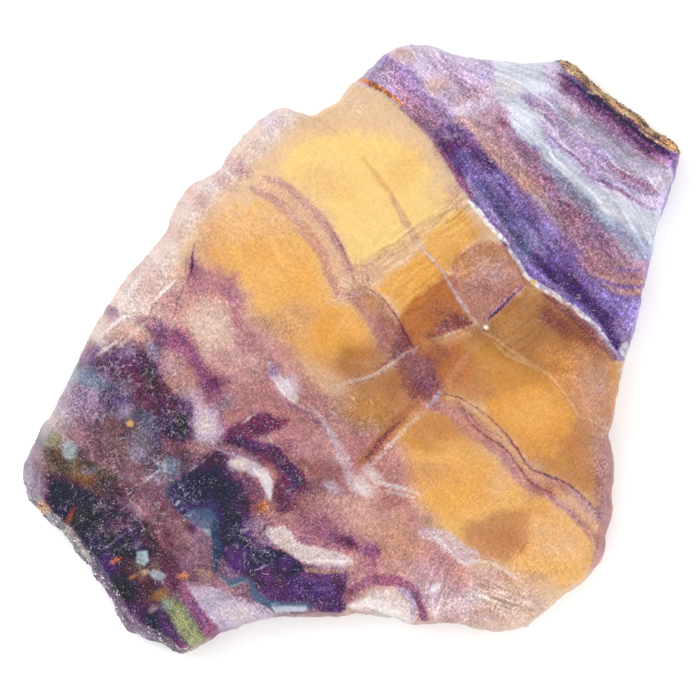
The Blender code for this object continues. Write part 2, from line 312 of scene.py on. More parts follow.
# Points on the stone, each with a colour, a clearness, a grain and a dust, painted stroke by stroke
class Painting:
    def __init__(self, x, y):
        self.x = x + brush["wobble"] * fractal(x, y, 5.0, 3, 11)
        self.y = y + brush["wobble"] * fractal(x, y, 5.0, 3, 23)
        self.ragged = brush["fray"] * fractal(x, y, 1.6, 4, 31)
        self.dashed = fractal(x, y, 0.9, 3, 47)
        self.layers = np.tile(np.array(palette["peach"], float), (len(x), 1))
        self.dust = np.zeros(len(x))
        self.pits = np.zeros(len(x))

    def near(self, line, reach):
        low = line.min(axis=0) - reach
        high = line.max(axis=0) + reach
        return np.flatnonzero((self.x > low[0]) & (self.x < high[0])
                              & (self.y > low[1]) & (self.y < high[1]))

    # For each spot: how far it is from the line, and how far along the line it lies, 0 to 1
    def along(self, line, spots):
        x = self.x[spots]
        y = self.y[spots]
        away = np.full(len(spots), 1e9)
        share = np.zeros(len(spots))
        lengths = np.hypot(*(line[1:] - line[:-1]).T)
        travelled = np.concatenate([[0], np.cumsum(lengths)])
        for i in np.flatnonzero(lengths > 1e-6):
            ax, ay = line[i]
            stepX, stepY = line[i + 1] - line[i]
            t = np.clip(((x - ax) * stepX + (y - ay) * stepY) / lengths[i]**2, 0, 1)
            gap = np.hypot(x - ax - t * stepX, y - ay - t * stepY)
            closer = gap < away
            away[closer] = gap[closer]
            share[closer] = ((travelled[i] + t * lengths[i]) / travelled[-1])[closer]
        return away, share

    def lay(self, name, spots, cover):
        if name == "dust":
            self.dust[spots] += (1 - self.dust[spots]) * cover
        elif name == "pits":
            self.pits[spots] = np.maximum(self.pits[spots], cover)
        elif name == "glow":
            self.layers[spots, :3] *= 1 + brush["glow"] * cover[:, None]
        elif name == "shade":
            self.layers[spots, :3] *= 1 - brush["shade"] * cover[:, None]
        else:
            self.layers[spots] += (np.array(palette[name], float) - self.layers[spots]) * cover[:, None]

    # Clouds one after another: name, centre, radii, turn, strength and, where it isn't the usual one, edge
    def clouds(self, *rows):
        for name, x, y, width, height, *rest in rows:
            self.cloud(name, (x, y), (width, height), *rest)

    def cloud(self, name, centre, radii, turn, strength, edge=0.8):
        angle = math.radians(turn)
        centre = tenths(centre)
        radii = tenths(radii)
        reach = max(radii) * (1 + 1.6 * edge)
        spots = np.flatnonzero((abs(self.x - centre[0]) < reach) & (abs(self.y - centre[1]) < reach))
        dx = self.x[spots] - centre[0]
        dy = self.y[spots] - centre[1]
        u = (dx * math.cos(angle) + dy * math.sin(angle)) / radii[0]
        v = (dy * math.cos(angle) - dx * math.sin(angle)) / radii[1]
        away = np.hypot(u, v) + 0.6 * edge * self.ragged[spots]
        self.lay(name, spots, strength * (1 - smoothStep(1 - edge, 1 + edge, away)))

    def patch(self, name, strength, soft, points, straight=False):
        line = smoothCurve(tenths(points), True, 1 if straight else 5)
        soft = tenths(soft)
        spots = self.near(line, 1.6 * soft)
        inside, _ = insideLoop(line[:-1], self.x[spots], self.y[spots])
        away, _ = self.along(line, spots)
        depth = np.where(inside, away, -away) + soft * self.ragged[spots]
        self.lay(name, spots, strength * smoothStep(-soft, soft, depth))

    def band(self, name, strength, halfWidths, soft, points, straight=False, dashes=0.0):
        line = smoothCurve(tenths(points), False, 1 if straight else 6)
        halfWidths = tenths(halfWidths)
        soft = tenths(soft)
        spots = self.near(line, max(halfWidths) + 1.6 * soft)
        away, share = self.along(line, spots)
        width = np.interp(share, np.linspace(0, 1, len(halfWidths)), halfWidths)
        cover = 1 - smoothStep(0, soft, away - width + 0.6 * soft * self.ragged[spots])
        cover *= strength * np.clip(width / 0.15, 0, 1)
        if dashes:
            cover *= 1 - dashes * smoothStep(-0.1, 0.25, self.dashed[spots])
        self.lay(name, spots, cover)

    # Light and dark streaks that run along two lines and fill the ground between them
    def comb(self, strength, spacing, length, lineA, lineB, outline):
        ring = smoothCurve(tenths(outline), True, 3)
        spots = self.near(ring, 0.5)
        inside, _ = insideLoop(ring[:-1], self.x[spots], self.y[spots])
        spots = spots[inside]
        fromA, share = self.along(smoothCurve(tenths(lineA), False, 4), spots)
        fromB, _ = self.along(smoothCurve(tenths(lineB), False, 4), spots)
        across = fromA / (fromA + fromB) * 22 / spacing
        onward = share * 50 / length
        streak = fractal(across, onward, 1.0, 4, 61)
        self.layers[spots, :3] *= 1 + strength * np.clip(streak, -1, 1)[:, None]

    # Fine light and dark streaks in one direction, strongest in the middle of an oval
    def hatch(self, centre, radii, turn, strength, spacing):
        angle = math.radians(turn)
        centre = tenths(centre)
        radii = tenths(radii)
        dx = self.x - centre[0]
        dy = self.y - centre[1]
        onward = dx * math.cos(angle) + dy * math.sin(angle)
        across = dy * math.cos(angle) - dx * math.sin(angle)
        cover = 1 - smoothStep(0.4, 1.1, np.hypot(onward / radii[0], across / radii[1]))
        streak = fractal(onward * 0.1, across, spacing, 3, 97)
        self.layers[:, :3] *= 1 + strength * (cover * np.clip(streak, -1, 1))[:, None]

    # Break the even strokes of the grainy parts into lighter and darker, rosier and bluer spots
    def stir(self):
        onward = self.x * 0.64 - self.y * 0.77    # along the growth bands
        across = self.x * 0.77 + self.y * 0.64
        rough = self.layers[:, 4] + 0.4 * self.dust
        light = fractal(onward * 0.45, across, 1.5, 3, 71)
        warm = fractal(onward * 0.6, across, 2.1, 3, 83)
        self.layers[:, :3] *= 1 + brush["stir"] * (rough * np.clip(light, -1, 1))[:, None]
        turn = brush["tint"] * rough * np.clip(warm, -1, 1)
        self.layers[:, 0] *= 1 + turn
        self.layers[:, 2] *= 1 - turn


def paintBands(p):
    # wide grounds of the amber body
    p.patch("apricot", 1, 17, [(-161, 237), (-85, 324), (29, 374), (96, 311), (165, 221), (249, 96),
        (360, -1), (374, -99), (360, -237), (290, -349), (165, -293), (68, -265), (-29, -112), (-182, -1),
        (-251, 124), (-224, 186)])
    p.clouds(("sand", -46, 312, 28, 11, -20, 0.3), ("peach", -1, 346, 28, 14, -30, 0.5))
    p.patch("honey", 1, 17, [(-199, 172), (-140, 201), (-85, 190), (-46, 144), (-32, 96), (-8, 26),
        (-15, -18), (-85, -1), (-146, 68), (-189, 121)])
    p.clouds(("gold", -124, 149, 42, 22, 15, 0.6), ("amber", -189, 144, 17, 36, 0, 0.5),
        ("gold", -71, 82, 31, 36, -20, 0.4))
    p.patch("butter", 1, 14, [(-96, 246), (-74, 287), (-8, 301), (68, 290), (124, 237), (154, 200),
        (144, 176), (110, 162), (85, 151), (61, 137), (29, 121), (-1, 112), (-12, 154), (-40, 199),
        (-64, 224)])
    p.clouds(("honey", -29, 228, 36, 17, -25, 0.45), ("honey", 75, 246, 19, 36, -35, 0.45),
        ("apricot", 124, 237, 14, 33, -32, 0.6), ("salmon", 144, 218, 10, 19, -32, 0.7),
        ("sand", 154, 200, 14, 11, 0, 0.5), ("sand", 21, 107, 22, 11, -25, 0.6))
    p.patch("sand", 0.45, 6, [(-7, 112), (21, 121), (57, 146), (96, 176), (140, 207), (149, 199),
        (118, 171), (82, 137), (46, 107), (21, 90)], straight=True)
    p.patch("gold", 0.9, 7, [(35, 82), (57, 104), (85, 126), (119, 151), (137, 121), (129, 96), (101, 71),
        (74, 46), (60, 65)], straight=True)
    p.cloud("honey", (65, 90), (19, 17), -30, 0.5)
    p.patch("gold", 0.8, 8, [(101, 154), (124, 171), (149, 190), (165, 187), (176, 157), (154, 132),
        (135, 110), (118, 135)], straight=True)
    p.cloud("honey", (132, 151), (14, 17), -20, 0.6)
    p.patch("russet", 0.9, 5, [(65, 43), (87, 68), (110, 87), (129, 104), (143, 101), (151, 68), (171, 32),
        (146, 21), (118, 12), (85, 1), (71, 21)], straight=True)
    p.cloud("maroon", (132, 51), (19, 19), -30, 0.5)
    p.patch("toffee", 1, 14, [(96, 6), (165, 26), (207, 61), (249, 90), (293, 62), (362, -4), (367, -112),
        (349, -210), (262, -168), (179, -78), (124, -57)])
    p.patch("brick", 0.75, 4, [(140, 121), (174, 146), (207, 146), (226, 121), (246, 93), (224, 71),
        (196, 46), (179, 32), (162, 51), (146, 82)])
    p.clouds(("toffee", 187, 129, 22, 14, 0, 0.6), ("salmon", 190, 110, 28, 14, -20, 0.5),
        ("brick", 207, 68, 22, 17, -40, 0.5), ("ochre", 154, 118, 14, 17, 20, 0.6),
        ("russet", 176, 162, 11, 14, 0, 0.35), ("ochre", 224, 37, 17, 22, 0, 0.5))
    p.patch("maroon", 0.45, 4, [(264, 76), (293, 62), (340, 21), (354, -4), (318, 4), (285, 21),
        (262, 43)], straight=True)
    p.clouds(("russet", 299, 26, 33, 11, -36, 0.35), ("amber", 235, 43, 19, 17, 0, 0.5))
    p.patch("ochre", 0.9, 8, [(154, -4), (193, 12), (235, -12), (274, -40), (262, -54), (207, -60),
        (165, -49)])
    p.patch("gold", 0.85, 11, [(187, -74), (228, -57), (269, -51), (299, -71), (312, -104), (299, -137),
        (262, -154), (235, -135), (207, -104)])
    p.cloud("honey", (249, -87), (33, 22), 20, 0.5)
    p.patch("amber", 0.8, 11, [(249, -4), (290, 1), (346, -1), (371, -32), (365, -99), (332, -93),
        (301, -60), (269, -26)])
    p.clouds(("salmon", 332, -60, 25, 28, 0, 0.5), ("sand", 351, -32, 14, 22, 0, 0.5),
        ("toffee", 318, -135, 28, 22, 0, 0.7), ("russet", 310, -129, 14, 11, 0, 0.4),
        ("ochre", 290, -162, 28, 11, 25, 0.6))
    p.patch("russet", 0.7, 8, [(74, -1), (124, 6), (165, -4), (160, -32), (132, -60), (101, -65)])
    p.clouds(("russet", 154, -40, 19, 17, 0, 0.5), ("sand", 340, -71, 31, 69, 0, 0.25),
        ("sand", 351, -143, 17, 61, 0, 0.4), ("sand", 221, 21, 19, 14, 0, 0.35))
    # below the fan lines
    p.patch("honey", 1, 14, [(65, -112), (96, -90), (137, -93), (176, -137), (221, -168), (269, -210),
        (339, -258), (315, -324), (249, -314), (207, -296), (144, -265), (96, -217)])
    p.clouds(("gold", 151, -196, 50, 28, 25, 0.6), ("gold", 85, -132, 22, 11, -20, 0.5),
        ("ochre", 96, -135, 31, 7, -10, 0.5), ("amber", 124, -168, 42, 11, 15, 0.3),
        ("apricot", 207, -182, 14, 22, -20, 0.4))
    p.patch("toffee", 0.85, 8, [(154, -249), (182, -235), (218, -226), (249, -226), (246, -260),
        (235, -285), (207, -293), (174, -282)])
    p.clouds(("russet", 215, -260, 17, 11, 0, 0.4), ("amber", 262, -221, 19, 11, 20, 0.5),
        ("apricot", 290, -272, 36, 25, -20, 0.5), ("honey", 276, -307, 42, 14, 10, 0.5),
        ("amber", -29, 6, 42, 42, 30, 0.6))
    p.patch("gold", 0.7, 8, [(-46, 46), (-8, 60), (15, 43), (29, 12), (21, -10), (-10, -12), (-40, -1),
        (-54, 21)])
    p.clouds(("ochre", -1, -1, 19, 11, 0, 0.5), ("honey", -8, 37, 19, 11, 20, 0.5),
        ("toffee", -8, -26, 42, 11, -10, 0.5), ("toffee", 29, 1, 17, 14, 0, 0.5))
    p.patch("ochre", 0.5, 11, [(-8, -60), (29, -49), (65, -37), (71, -71), (51, -110), (7, -121),
        (-15, -99)])
    p.patch("toffee", 0.6, 8, [(51, -40), (71, -26), (87, -60), (93, -79), (65, -112), (46, -115)])
    p.patch("shade", 0.35, 11, [(229, 79), (269, 60), (318, 26), (351, -10), (357, -60), (318, -43),
        (262, -32), (207, -10), (165, 12), (162, 43), (207, 46)])
    p.clouds(("wine", 285, 37, 25, 10, -32, 0.35), ("wine", 335, 1, 22, 8, -45, 0.35))
    p.patch("umber", 0.5, 11, [(-15, -10), (29, 4), (62, -4), (85, 1), (101, -18), (96, -60), (74, -85),
        (46, -112), (12, -104), (-10, -65)])
    p.clouds(("amber", 165, -112, 31, 19, 20, 0.5), ("amber", 144, -64, 19, 19, 0, 0.4))
    p.patch("umber", 0.4, 11, [(93, -68), (132, -71), (165, -104), (140, -126), (96, -126), (74, -104)])
    p.patch("shade", 0.2, 11, [(-10, 6), (40, -1), (74, -24), (68, -60), (21, -65), (-10, -43)])
    # rose and peach ground of the lower left
    p.patch("rose", 1, 19, [(-210, 89), (-154, 82), (-124, -1), (-29, -60), (29, -112), (75, -140),
        (96, -237), (165, -307), (137, -383), (-29, -362), (-154, -265), (-210, -126), (-251, -1),
        (-240, 68)])
    p.patch("shell", 0.9, 11, [(-365, 6), (-332, 68), (-279, 137), (-237, 200), (-179, 262), (-115, 337),
        (-57, 335), (-82, 307), (-129, 265), (-193, 200), (-237, 137), (-265, 74), (-310, 33)])
    p.clouds(("lilac", -115, 321, 14, 17, 30, 0.6), ("peach", -146, 282, 17, 25, -40, 0.7),
        ("mauve", -154, 251, 17, 8, -35, 0.5), ("mauve", -176, 232, 17, 8, -35, 0.4),
        ("salmon", -210, 207, 22, 11, -45, 0.5), ("salmon", -249, 165, 19, 14, -50, 0.5),
        ("salmon", -279, 93, 36, 19, -50, 0.45), ("rose", -237, 79, 17, 28, -20, 0.55),
        ("mauve", -249, 62, 19, 19, 0, 0.5), ("peach", -199, 46, 33, 22, 0, 0.8),
        ("cream", -190, 21, 28, 19, 0, 0.6), ("peach", -179, -1, 36, 17, -20, 0.6),
        ("fawn", -203, 137, 11, 36, 0, 0.5))
    p.patch("mauve", 0.75, 11, [(-229, 121), (-204, 115), (-171, 110), (-149, 87), (-154, 68), (-179, 79),
        (-204, 71), (-226, 74)])
    p.cloud("plum", (-218, 107), (10, 19), 10, 0.6)
    p.band("plum", 0.45, [2.8, 5.6, 4.2], 6.9, [(-176, 82), (-162, 62), (-157, 37)])
    p.clouds(("mauve", -132, 15, 28, 22, -30, 0.7), ("fawn", -99, 33, 33, 17, -20, 0.6),
        ("sand", -71, 51, 22, 14, -20, 0.5), ("mauve", -93, -4, 17, 14, 0, 0.5),
        ("peach", -147, -26, 25, 19, -10, 0.8), ("sand", -29, -50, 36, 14, -10, 0.6),
        ("fawn", -71, -40, 14, 19, 0, 0.5), ("fawn", -8, -87, 25, 19, 20, 0.5),
        ("ochre", 19, -87, 28, 22, 30, 0.6), ("mauve", -85, -126, 42, 17, -20, 0.5),
        ("salmon", -43, -126, 28, 31, 0, 0.5), ("brick", -54, -157, 25, 14, 20, 0.4))
    p.patch("brick", 0.75, 10, [(-74, -171), (-29, -157), (1, -168), (-15, -185), (-35, -201), (-62, -226),
        (-85, -210)])
    p.patch("plum", 0.6, 8, [(-71, -226), (-29, -232), (7, -254), (35, -274), (32, -293), (-1, -274),
        (-43, -265), (-71, -260)])
    p.clouds(("salmon", 19, -226, 61, 25, -8, 0.85), ("salmon", 29, -254, 31, 17, 0, 0.6),
        ("peach", -8, -217, 22, 11, 0, 0.4), ("brick", 57, -212, 28, 12, 15, 0.6),
        ("fawn", 75, -265, 33, 28, 0, 0.7), ("mauve", 96, -244, 17, 22, 0, 0.4),
        ("mauve", 124, -296, 22, 17, 20, 0.5), ("lilac", 124, -349, 47, 22, 0, 0.6),
        ("rose", 193, -324, 42, 14, 15, 0.6), ("shell", 179, -354, 64, 17, 10, 0.7),
        ("sand", 235, -337, 42, 17, 20, 0.5), ("fawn", 187, -362, 17, 7, 10, 0.6))
    p.patch("mauve", 0.4, 14, [(-190, -4), (-124, 15), (-71, -10), (-54, -60), (-15, -99), (29, -126),
        (51, -168), (-1, -210), (-43, -168), (-99, -126), (-160, -99), (-190, -57)])
    p.patch("brick", 0.3, 11, [(-154, -24), (-71, -32), (-29, -85), (-71, -126), (-140, -85)])
    p.cloud("brick", (19, -143), (28, 25), 30, 0.5)
    # dark crystal zone, its ground
    p.patch("damson", 0.9, 14, [(-369, -1), (-279, 19), (-231, -1), (-224, -112), (-154, -126), (-99, -237),
        (-1, -314), (-15, -369), (-140, -383), (-237, -425), (-349, -349), (-453, -210), (-449, -126),
        (-404, -64)])
    p.clouds(("shell", -410, -96, 28, 39, 25, 0.9), ("smoke", -429, -133, 19, 19, 0, 0.5),
        ("heather", -376, -71, 31, 31, 0, 0.7), ("lilac", -396, -71, 14, 25, 20, 0.6))
    p.patch("violet", 0.6, 7, [(-379, -18), (-354, 6), (-332, 12), (-343, -4), (-362, -21)])
    p.patch("gloam", 0.95, 8, [(-351, -18), (-324, -1), (-293, -4), (-268, -24), (-265, -49), (-293, -60),
        (-324, -51), (-349, -40)])
    p.cloud("wine", (-310, -24), (28, 14), 10, 0.5)
    p.patch("steel", 0.85, 8, [(-401, -40), (-374, -24), (-343, -37), (-326, -54), (-349, -62),
        (-379, -51)])
    p.clouds(("mist", -387, -35, 11, 8, -30, 0.5), ("navy", -326, -54, 19, 14, 10, 0.75),
        ("heather", -357, -82, 22, 18, 0, 0.7), ("indigo", -321, -74, 17, 10, 10, 0.8),
        ("lavender", -315, -89, 12, 10, 10, 0.8))
    p.patch("wine", 0.9, 10, [(-296, -37), (-268, -35), (-254, -54), (-235, -65), (-215, -87), (-221, -121),
        (-249, -126), (-268, -110), (-285, -87), (-296, -62)])
    p.patch("ink", 0.7, 8, [(-265, -65), (-232, -68), (-215, -90), (-221, -121), (-249, -124), (-265, -99)])
    p.clouds(("petrol", -293, -92, 12, 7, 10, 0.7), ("petrol", -282, -107, 17, 10, 30, 0.6),
        ("navy", -271, -129, 8, 22, -5, 0.8), ("mauve", -376, -115, 25, 14, -10, 0.7),
        ("rose", -332, -112, 19, 11, 0, 0.4), ("smoke", -293, -135, 19, 22, 0, 0.75),
        ("rose", -326, -135, 17, 11, -10, 0.6))
    p.patch("olive", 0.9, 8, [(-426, -143), (-401, -135), (-371, -151), (-332, -168), (-318, -196),
        (-326, -218), (-357, -201), (-390, -185), (-421, -174)])
    p.clouds(("fern", -412, -126, 12, 8, 30, 0.6), ("russet", -371, -182, 17, 8, 10, 0.45),
        ("smoke", -360, -168, 14, 4, 20, 0.6))
    p.patch("ink", 0.95, 8, [(-424, -182), (-401, -176), (-362, -201), (-324, -218), (-299, -232),
        (-282, -254), (-268, -282), (-279, -310), (-257, -349), (-243, -404), (-279, -404), (-321, -349),
        (-360, -301), (-390, -258), (-418, -221)])
    p.clouds(("olive", -332, -210, 19, 19, 20, 0.7), ("olive", -324, -243, 25, 11, 20, 0.7),
        ("indigo", -360, -272, 17, 22, 30, 0.5), ("violet", -337, -301, 11, 17, 20, 0.4),
        ("olive", -293, -304, 25, 14, 10, 0.8), ("olive", -276, -337, 19, 14, 30, 0.6),
        ("plum", -293, -354, 17, 11, 40, 0.4))
    p.patch("mauve", 0.55, 10, [(-315, -182), (-290, -168), (-254, -179), (-246, -210), (-215, -240),
        (-196, -272), (-199, -307), (-229, -318), (-254, -307), (-268, -272), (-290, -237), (-307, -210)])
    p.clouds(("mauve", -240, -251, 25, 17, 20, 0.5), ("grape", -311, -201, 8, 19, -10, 0.7))
    p.patch("wine", 0.9, 7, [(-290, -237), (-276, -251), (-260, -276), (-240, -296), (-235, -326),
        (-249, -335), (-262, -307), (-276, -282), (-290, -265)])
    p.patch("mauve", 0.7, 6, [(-232, -332), (-210, -321), (-187, -318), (-165, -335), (-182, -343),
        (-210, -343)])
    p.patch("shade", 0.25, 14, [(-399, -60), (-335, -1), (-265, -4), (-201, -60), (-154, -126),
        (-168, -237), (-187, -335), (-265, -404), (-335, -335), (-404, -237), (-426, -154)])
    p.patch("shade", 0.45, 11, [(-343, -68), (-307, -99), (-265, -126), (-210, -143), (-243, -179),
        (-249, -210), (-224, -237), (-201, -265), (-199, -315), (-224, -326), (-251, -293), (-279, -237),
        (-307, -203), (-335, -168), (-360, -126)])
    p.clouds(("steel", -254, -165, 14, 12, 20, 0.85), ("dust", -254, -168, 17, 17, 0, 0.9),
        ("mauve", -279, -210, 19, 11, 40, 0.35), ("rose", -229, -262, 12, 8, 20, 0.45),
        ("mauve", -221, -287, 14, 11, 20, 0.4), ("salmon", -240, -243, 8, 7, 0, 0.4),
        ("lilac", -279, -179, 17, 6, -30, 0.35), ("wine", -265, -210, 7, 17, 30, 0.5),
        ("wine", -254, -260, 8, 14, 20, 0.5), ("heather", -293, -149, 14, 8, 30, 0.4))
    # ink and navy crystal
    p.patch("ink", 1, 3, [(-251, -212), (-250, -193), (-237, -181), (-215, -162), (-192, -144),
        (-174, -150), (-160, -165), (-150, -185), (-143, -210), (-140, -235), (-132, -260), (-110, -274),
        (-85, -285), (-65, -304), (-71, -321), (-124, -321), (-154, -312), (-179, -287), (-183, -246),
        (-196, -232), (-229, -232)])
    p.clouds(("wine", -190, -154, 19, 10, 15, 0.6), ("grape", -174, -168, 11, 11, 0, 0.4),
        ("navy", -226, -199, 17, 17, 0, 0.4))
    p.band("teal", 0.5, [2.8, 4.2, 4.2, 2.8], 4.2, [(-257, -151), (-249, -174), (-250, -199), (-237, -221)])
    p.cloud("navy", (-157, -204), (14, 19), 0, 0.3)
    p.patch("violet", 0.4, 8, [(-176, -276), (-160, -271), (-140, -287), (-146, -310), (-168, -310)])
    p.clouds(("heather", -137, -244, 12, 14, 20, 0.75), ("heather", -122, -267, 17, 8, 25, 0.6),
        ("violet", -90, -296, 17, 8, 25, 0.4), ("dust", -137, -254, 19, 19, 20, 0.8),
        ("grape", -115, -310, 25, 7, 0, 0.5))
    # petrol facets: a bright one, a deep strip under it, and the stepped foot
    p.patch("petrol", 0.5, 7, [(-232, -226), (-215, -212), (-190, -210), (-179, -229), (-187, -257),
        (-204, -251)])
    p.patch("petrol", 0.9, 2, [(-232, -232), (-215, -222), (-199, -221), (-189, -229), (-190, -258),
        (-206, -253)], straight=True)
    p.patch("mist", 0.65, 1, [(-210, -249), (-201, -249), (-194, -253), (-193, -260),
        (-201, -257)], straight=True)
    p.patch("abyss", 0.95, 2, [(-193, -237), (-183, -243), (-179, -276), (-186, -310), (-192, -312),
        (-193, -279)], straight=True)
    p.band("heather", 0.7, [0.4, 0.7, 0.7, 0.6], 1, [(-193, -262), (-193, -282), (-192, -296),
        (-190, -311)], straight=True)
    p.band("lavender", 0.5, [0.4, 1, 0.7], 1.2, [(-229, -235), (-215, -246), (-206, -253)], straight=True)
    p.patch("petrol", 0.9, 1, [(-187, -310), (-171, -321), (-143, -315), (-124, -319), (-146, -325),
        (-168, -333)], straight=True)
    p.band("mist", 0.8, [0.4, 0.8, 1.1, 0.6], 1.1, [(-186, -317), (-169, -332), (-158, -328),
        (-140, -322)], straight=True)
    p.patch("gloam", 1, 3, [(-143, -314), (-99, -317), (-71, -312), (-10, -312), (-6, -346), (-10, -365),
        (-40, -365), (-71, -351), (-112, -351), (-129, -337), (-137, -326)])
    p.patch("indigo", 0.8, 4, [(-87, -318), (-29, -318), (-21, -335), (-49, -343), (-85, -344)])
    p.patch("grape", 0.55, 4, [(-71, -311), (-10, -310), (-7, -324), (-29, -325), (-62, -321)])
    p.band("heather", 0.35, [0.7, 1.9, 0.8], 1.7, [(-60, -336), (-37, -332), (-21, -326)])
    p.patch("petrol", 0.95, 2, [(-142, -321), (-135, -324), (-129, -337), (-115, -350), (-71, -351),
        (-56, -353), (-54, -362), (-104, -365), (-121, -357), (-137, -346)], straight=True)
    p.patch("mist", 0.55, 2, [(-112, -354), (-62, -355), (-60, -364), (-104, -365)], straight=True)
    p.patch("ice", 0.85, 1, [(-110, -358), (-87, -357), (-62, -358), (-61, -364),
        (-104, -367)], straight=True)
    p.band("ice", 0.75, [0.6, 1.1, 1.4], 1.1, [(-137, -349), (-124, -357), (-108, -367)], straight=True)
    p.patch("shade", 0.35, 11, [(-110, -162), (-71, -149), (-29, -157), (-1, -174), (-18, -201),
        (-49, -224), (-71, -237), (-93, -226), (-107, -210)])
    p.patch("shade", 0.2, 12, [(-85, -65), (-29, -60), (24, -68), (68, -85), (51, -112), (-1, -126),
        (-57, -121), (-76, -99)])
    p.clouds(("wine", -82, -168, 14, 19, 20, 0.5), ("wine", -60, -193, 19, 11, 0, 0.45))
    # pale crystals
    p.patch("wine", 0.85, 6, [(-174, -126), (-149, -126), (-124, -137), (-99, -151), (-82, -171),
        (-65, -174), (-62, -199), (-82, -226), (-101, -229), (-107, -210), (-93, -190), (-104, -168),
        (-132, -149), (-162, -140)])
    p.cloud("wine", (-96, -210), (17, 11), -40, 0.6)
    p.patch("wine", 0.95, 6, [(-176, -115), (-154, -101), (-129, -87), (-101, -93), (-90, -104),
        (-112, -118), (-132, -124), (-146, -135), (-171, -126)])
    p.cloud("brick", (-157, -90), (19, 8), -20, 0.6)
    p.patch("clay", 0.75, 4, [(-179, -135), (-157, -137), (-137, -146), (-118, -162), (-132, -162),
        (-154, -154), (-174, -147)])
    p.band("heather", 0.6, [0.4, 0.8, 0.8, 0.4], 1.1, [(-182, -136), (-165, -139), (-151, -143),
        (-140, -151)])
    p.band("lavender", 0.8, [0.7, 1.2, 1.2, 0.8], 1.2, [(-193, -140), (-179, -143), (-165, -147),
        (-151, -151), (-143, -157)])
    p.patch("pearl", 0.95, 4, [(-171, -157), (-157, -150), (-140, -153), (-131, -164), (-124, -176),
        (-132, -178), (-149, -169), (-162, -165)])
    p.patch("pearl", 0.9, 3, [(-136, -157), (-124, -162), (-112, -176), (-110, -193), (-115, -211),
        (-118, -199), (-124, -182), (-132, -171)])
    p.cloud("wine", (-97, -187), (8, 14), -10, 0.8)
    p.band("gloam", 0.8, [2.8, 4.9, 6.9, 6.9, 5.6, 4.2], 4.2, [(-168, -128), (-140, -132), (-112, -143),
        (-87, -162), (-76, -185), (-85, -210)])
    p.clouds(("pearl", -167, -164, 6, 6, 0, 0.5), ("mauve", -157, -175, 8, 6, 30, 0.6),
        ("sand", -119, -219, 15, 11, 20, 0.8), ("rust", -122, -221, 6, 7, 20, 0.8, 0.5))
    p.patch("mauve", 0.6, 7, [(-124, -243), (-104, -229), (-76, -237), (-62, -257), (-85, -257),
        (-107, -249)])
    p.patch("shell", 0.9, 3, [(-118, -258), (-115, -250), (-96, -244), (-82, -257), (-69, -269),
        (-40, -274), (-15, -283), (4, -292), (3, -301), (-32, -303), (-62, -297), (-82, -287),
        (-101, -272)], straight=True)
    p.band("white", 0.55, [0.6, 1.2, 1.5, 1.2, 0.4], 1.4, [(-65, -292), (-46, -293), (-21, -294),
        (7, -296)], straight=True)
    p.band("heather", 0.5, [0.6, 1.7, 1.7, 0.7], 1.7, [(-62, -300), (-37, -301), (-12, -303),
        (4, -301)], straight=True)
    p.band("sand", 0.6, [0.6, 2.2, 2.2, 0.8], 2.2, [(-68, -305), (-43, -308), (-12, -307), (1, -304)])
    p.band("lilac", 0.5, [0.4, 1, 0.7], 1.1, [(-26, -287), (-4, -290), (12, -290)])
    p.patch("plum", 0.8, 6, [(-76, -262), (-46, -267), (-15, -274), (12, -276), (37, -274), (35, -287),
        (-1, -283), (-35, -274), (-68, -268)])
    p.patch("grape", 0.7, 7, [(-51, -235), (-24, -246), (1, -260), (10, -276), (-15, -274), (-43, -260)])
    p.patch("wine", 0.6, 4, [(-21, -265), (1, -265), (10, -282), (-10, -279)])
    p.cloud("plum", (26, -296), (11, 22), 0, 0.6)
    p.band("mauve", 0.5, [1.4, 4.2, 4.2], 5.6, [(7, -307), (1, -329), (-7, -349)])
    p.patch("shell", 0.95, 6, [(-1, -357), (21, -340), (49, -332), (74, -343), (86, -360), (85, -382),
        (57, -385), (21, -368)])
    p.band("white", 0.5, [1.4, 4.2, 5.6, 4.2], 5.6, [(1, -358), (29, -355), (57, -365), (79, -376)])
    p.band("sage", 0.45, [0.7, 1.7, 1.4], 1.9, [(21, -362), (46, -371), (74, -380)])
    p.band("plum", 0.85, [1.4, 4.2, 5.6, 5.6, 4.9, 2.8, 3.3], 4.9, [(-1, -337), (21, -325), (46, -321),
        (68, -324), (87, -335), (94, -351), (101, -374)])
    p.band("lavender", 0.6, [0.7, 3.5, 3.5, 1.4], 3.5, [(62, -332), (79, -340), (87, -354), (85, -371)])
    p.band("grape", 0.8, [0.7, 1.7, 2.2, 2.8], 1.9, [(87, -337), (93, -351), (97, -362), (101, -375)])
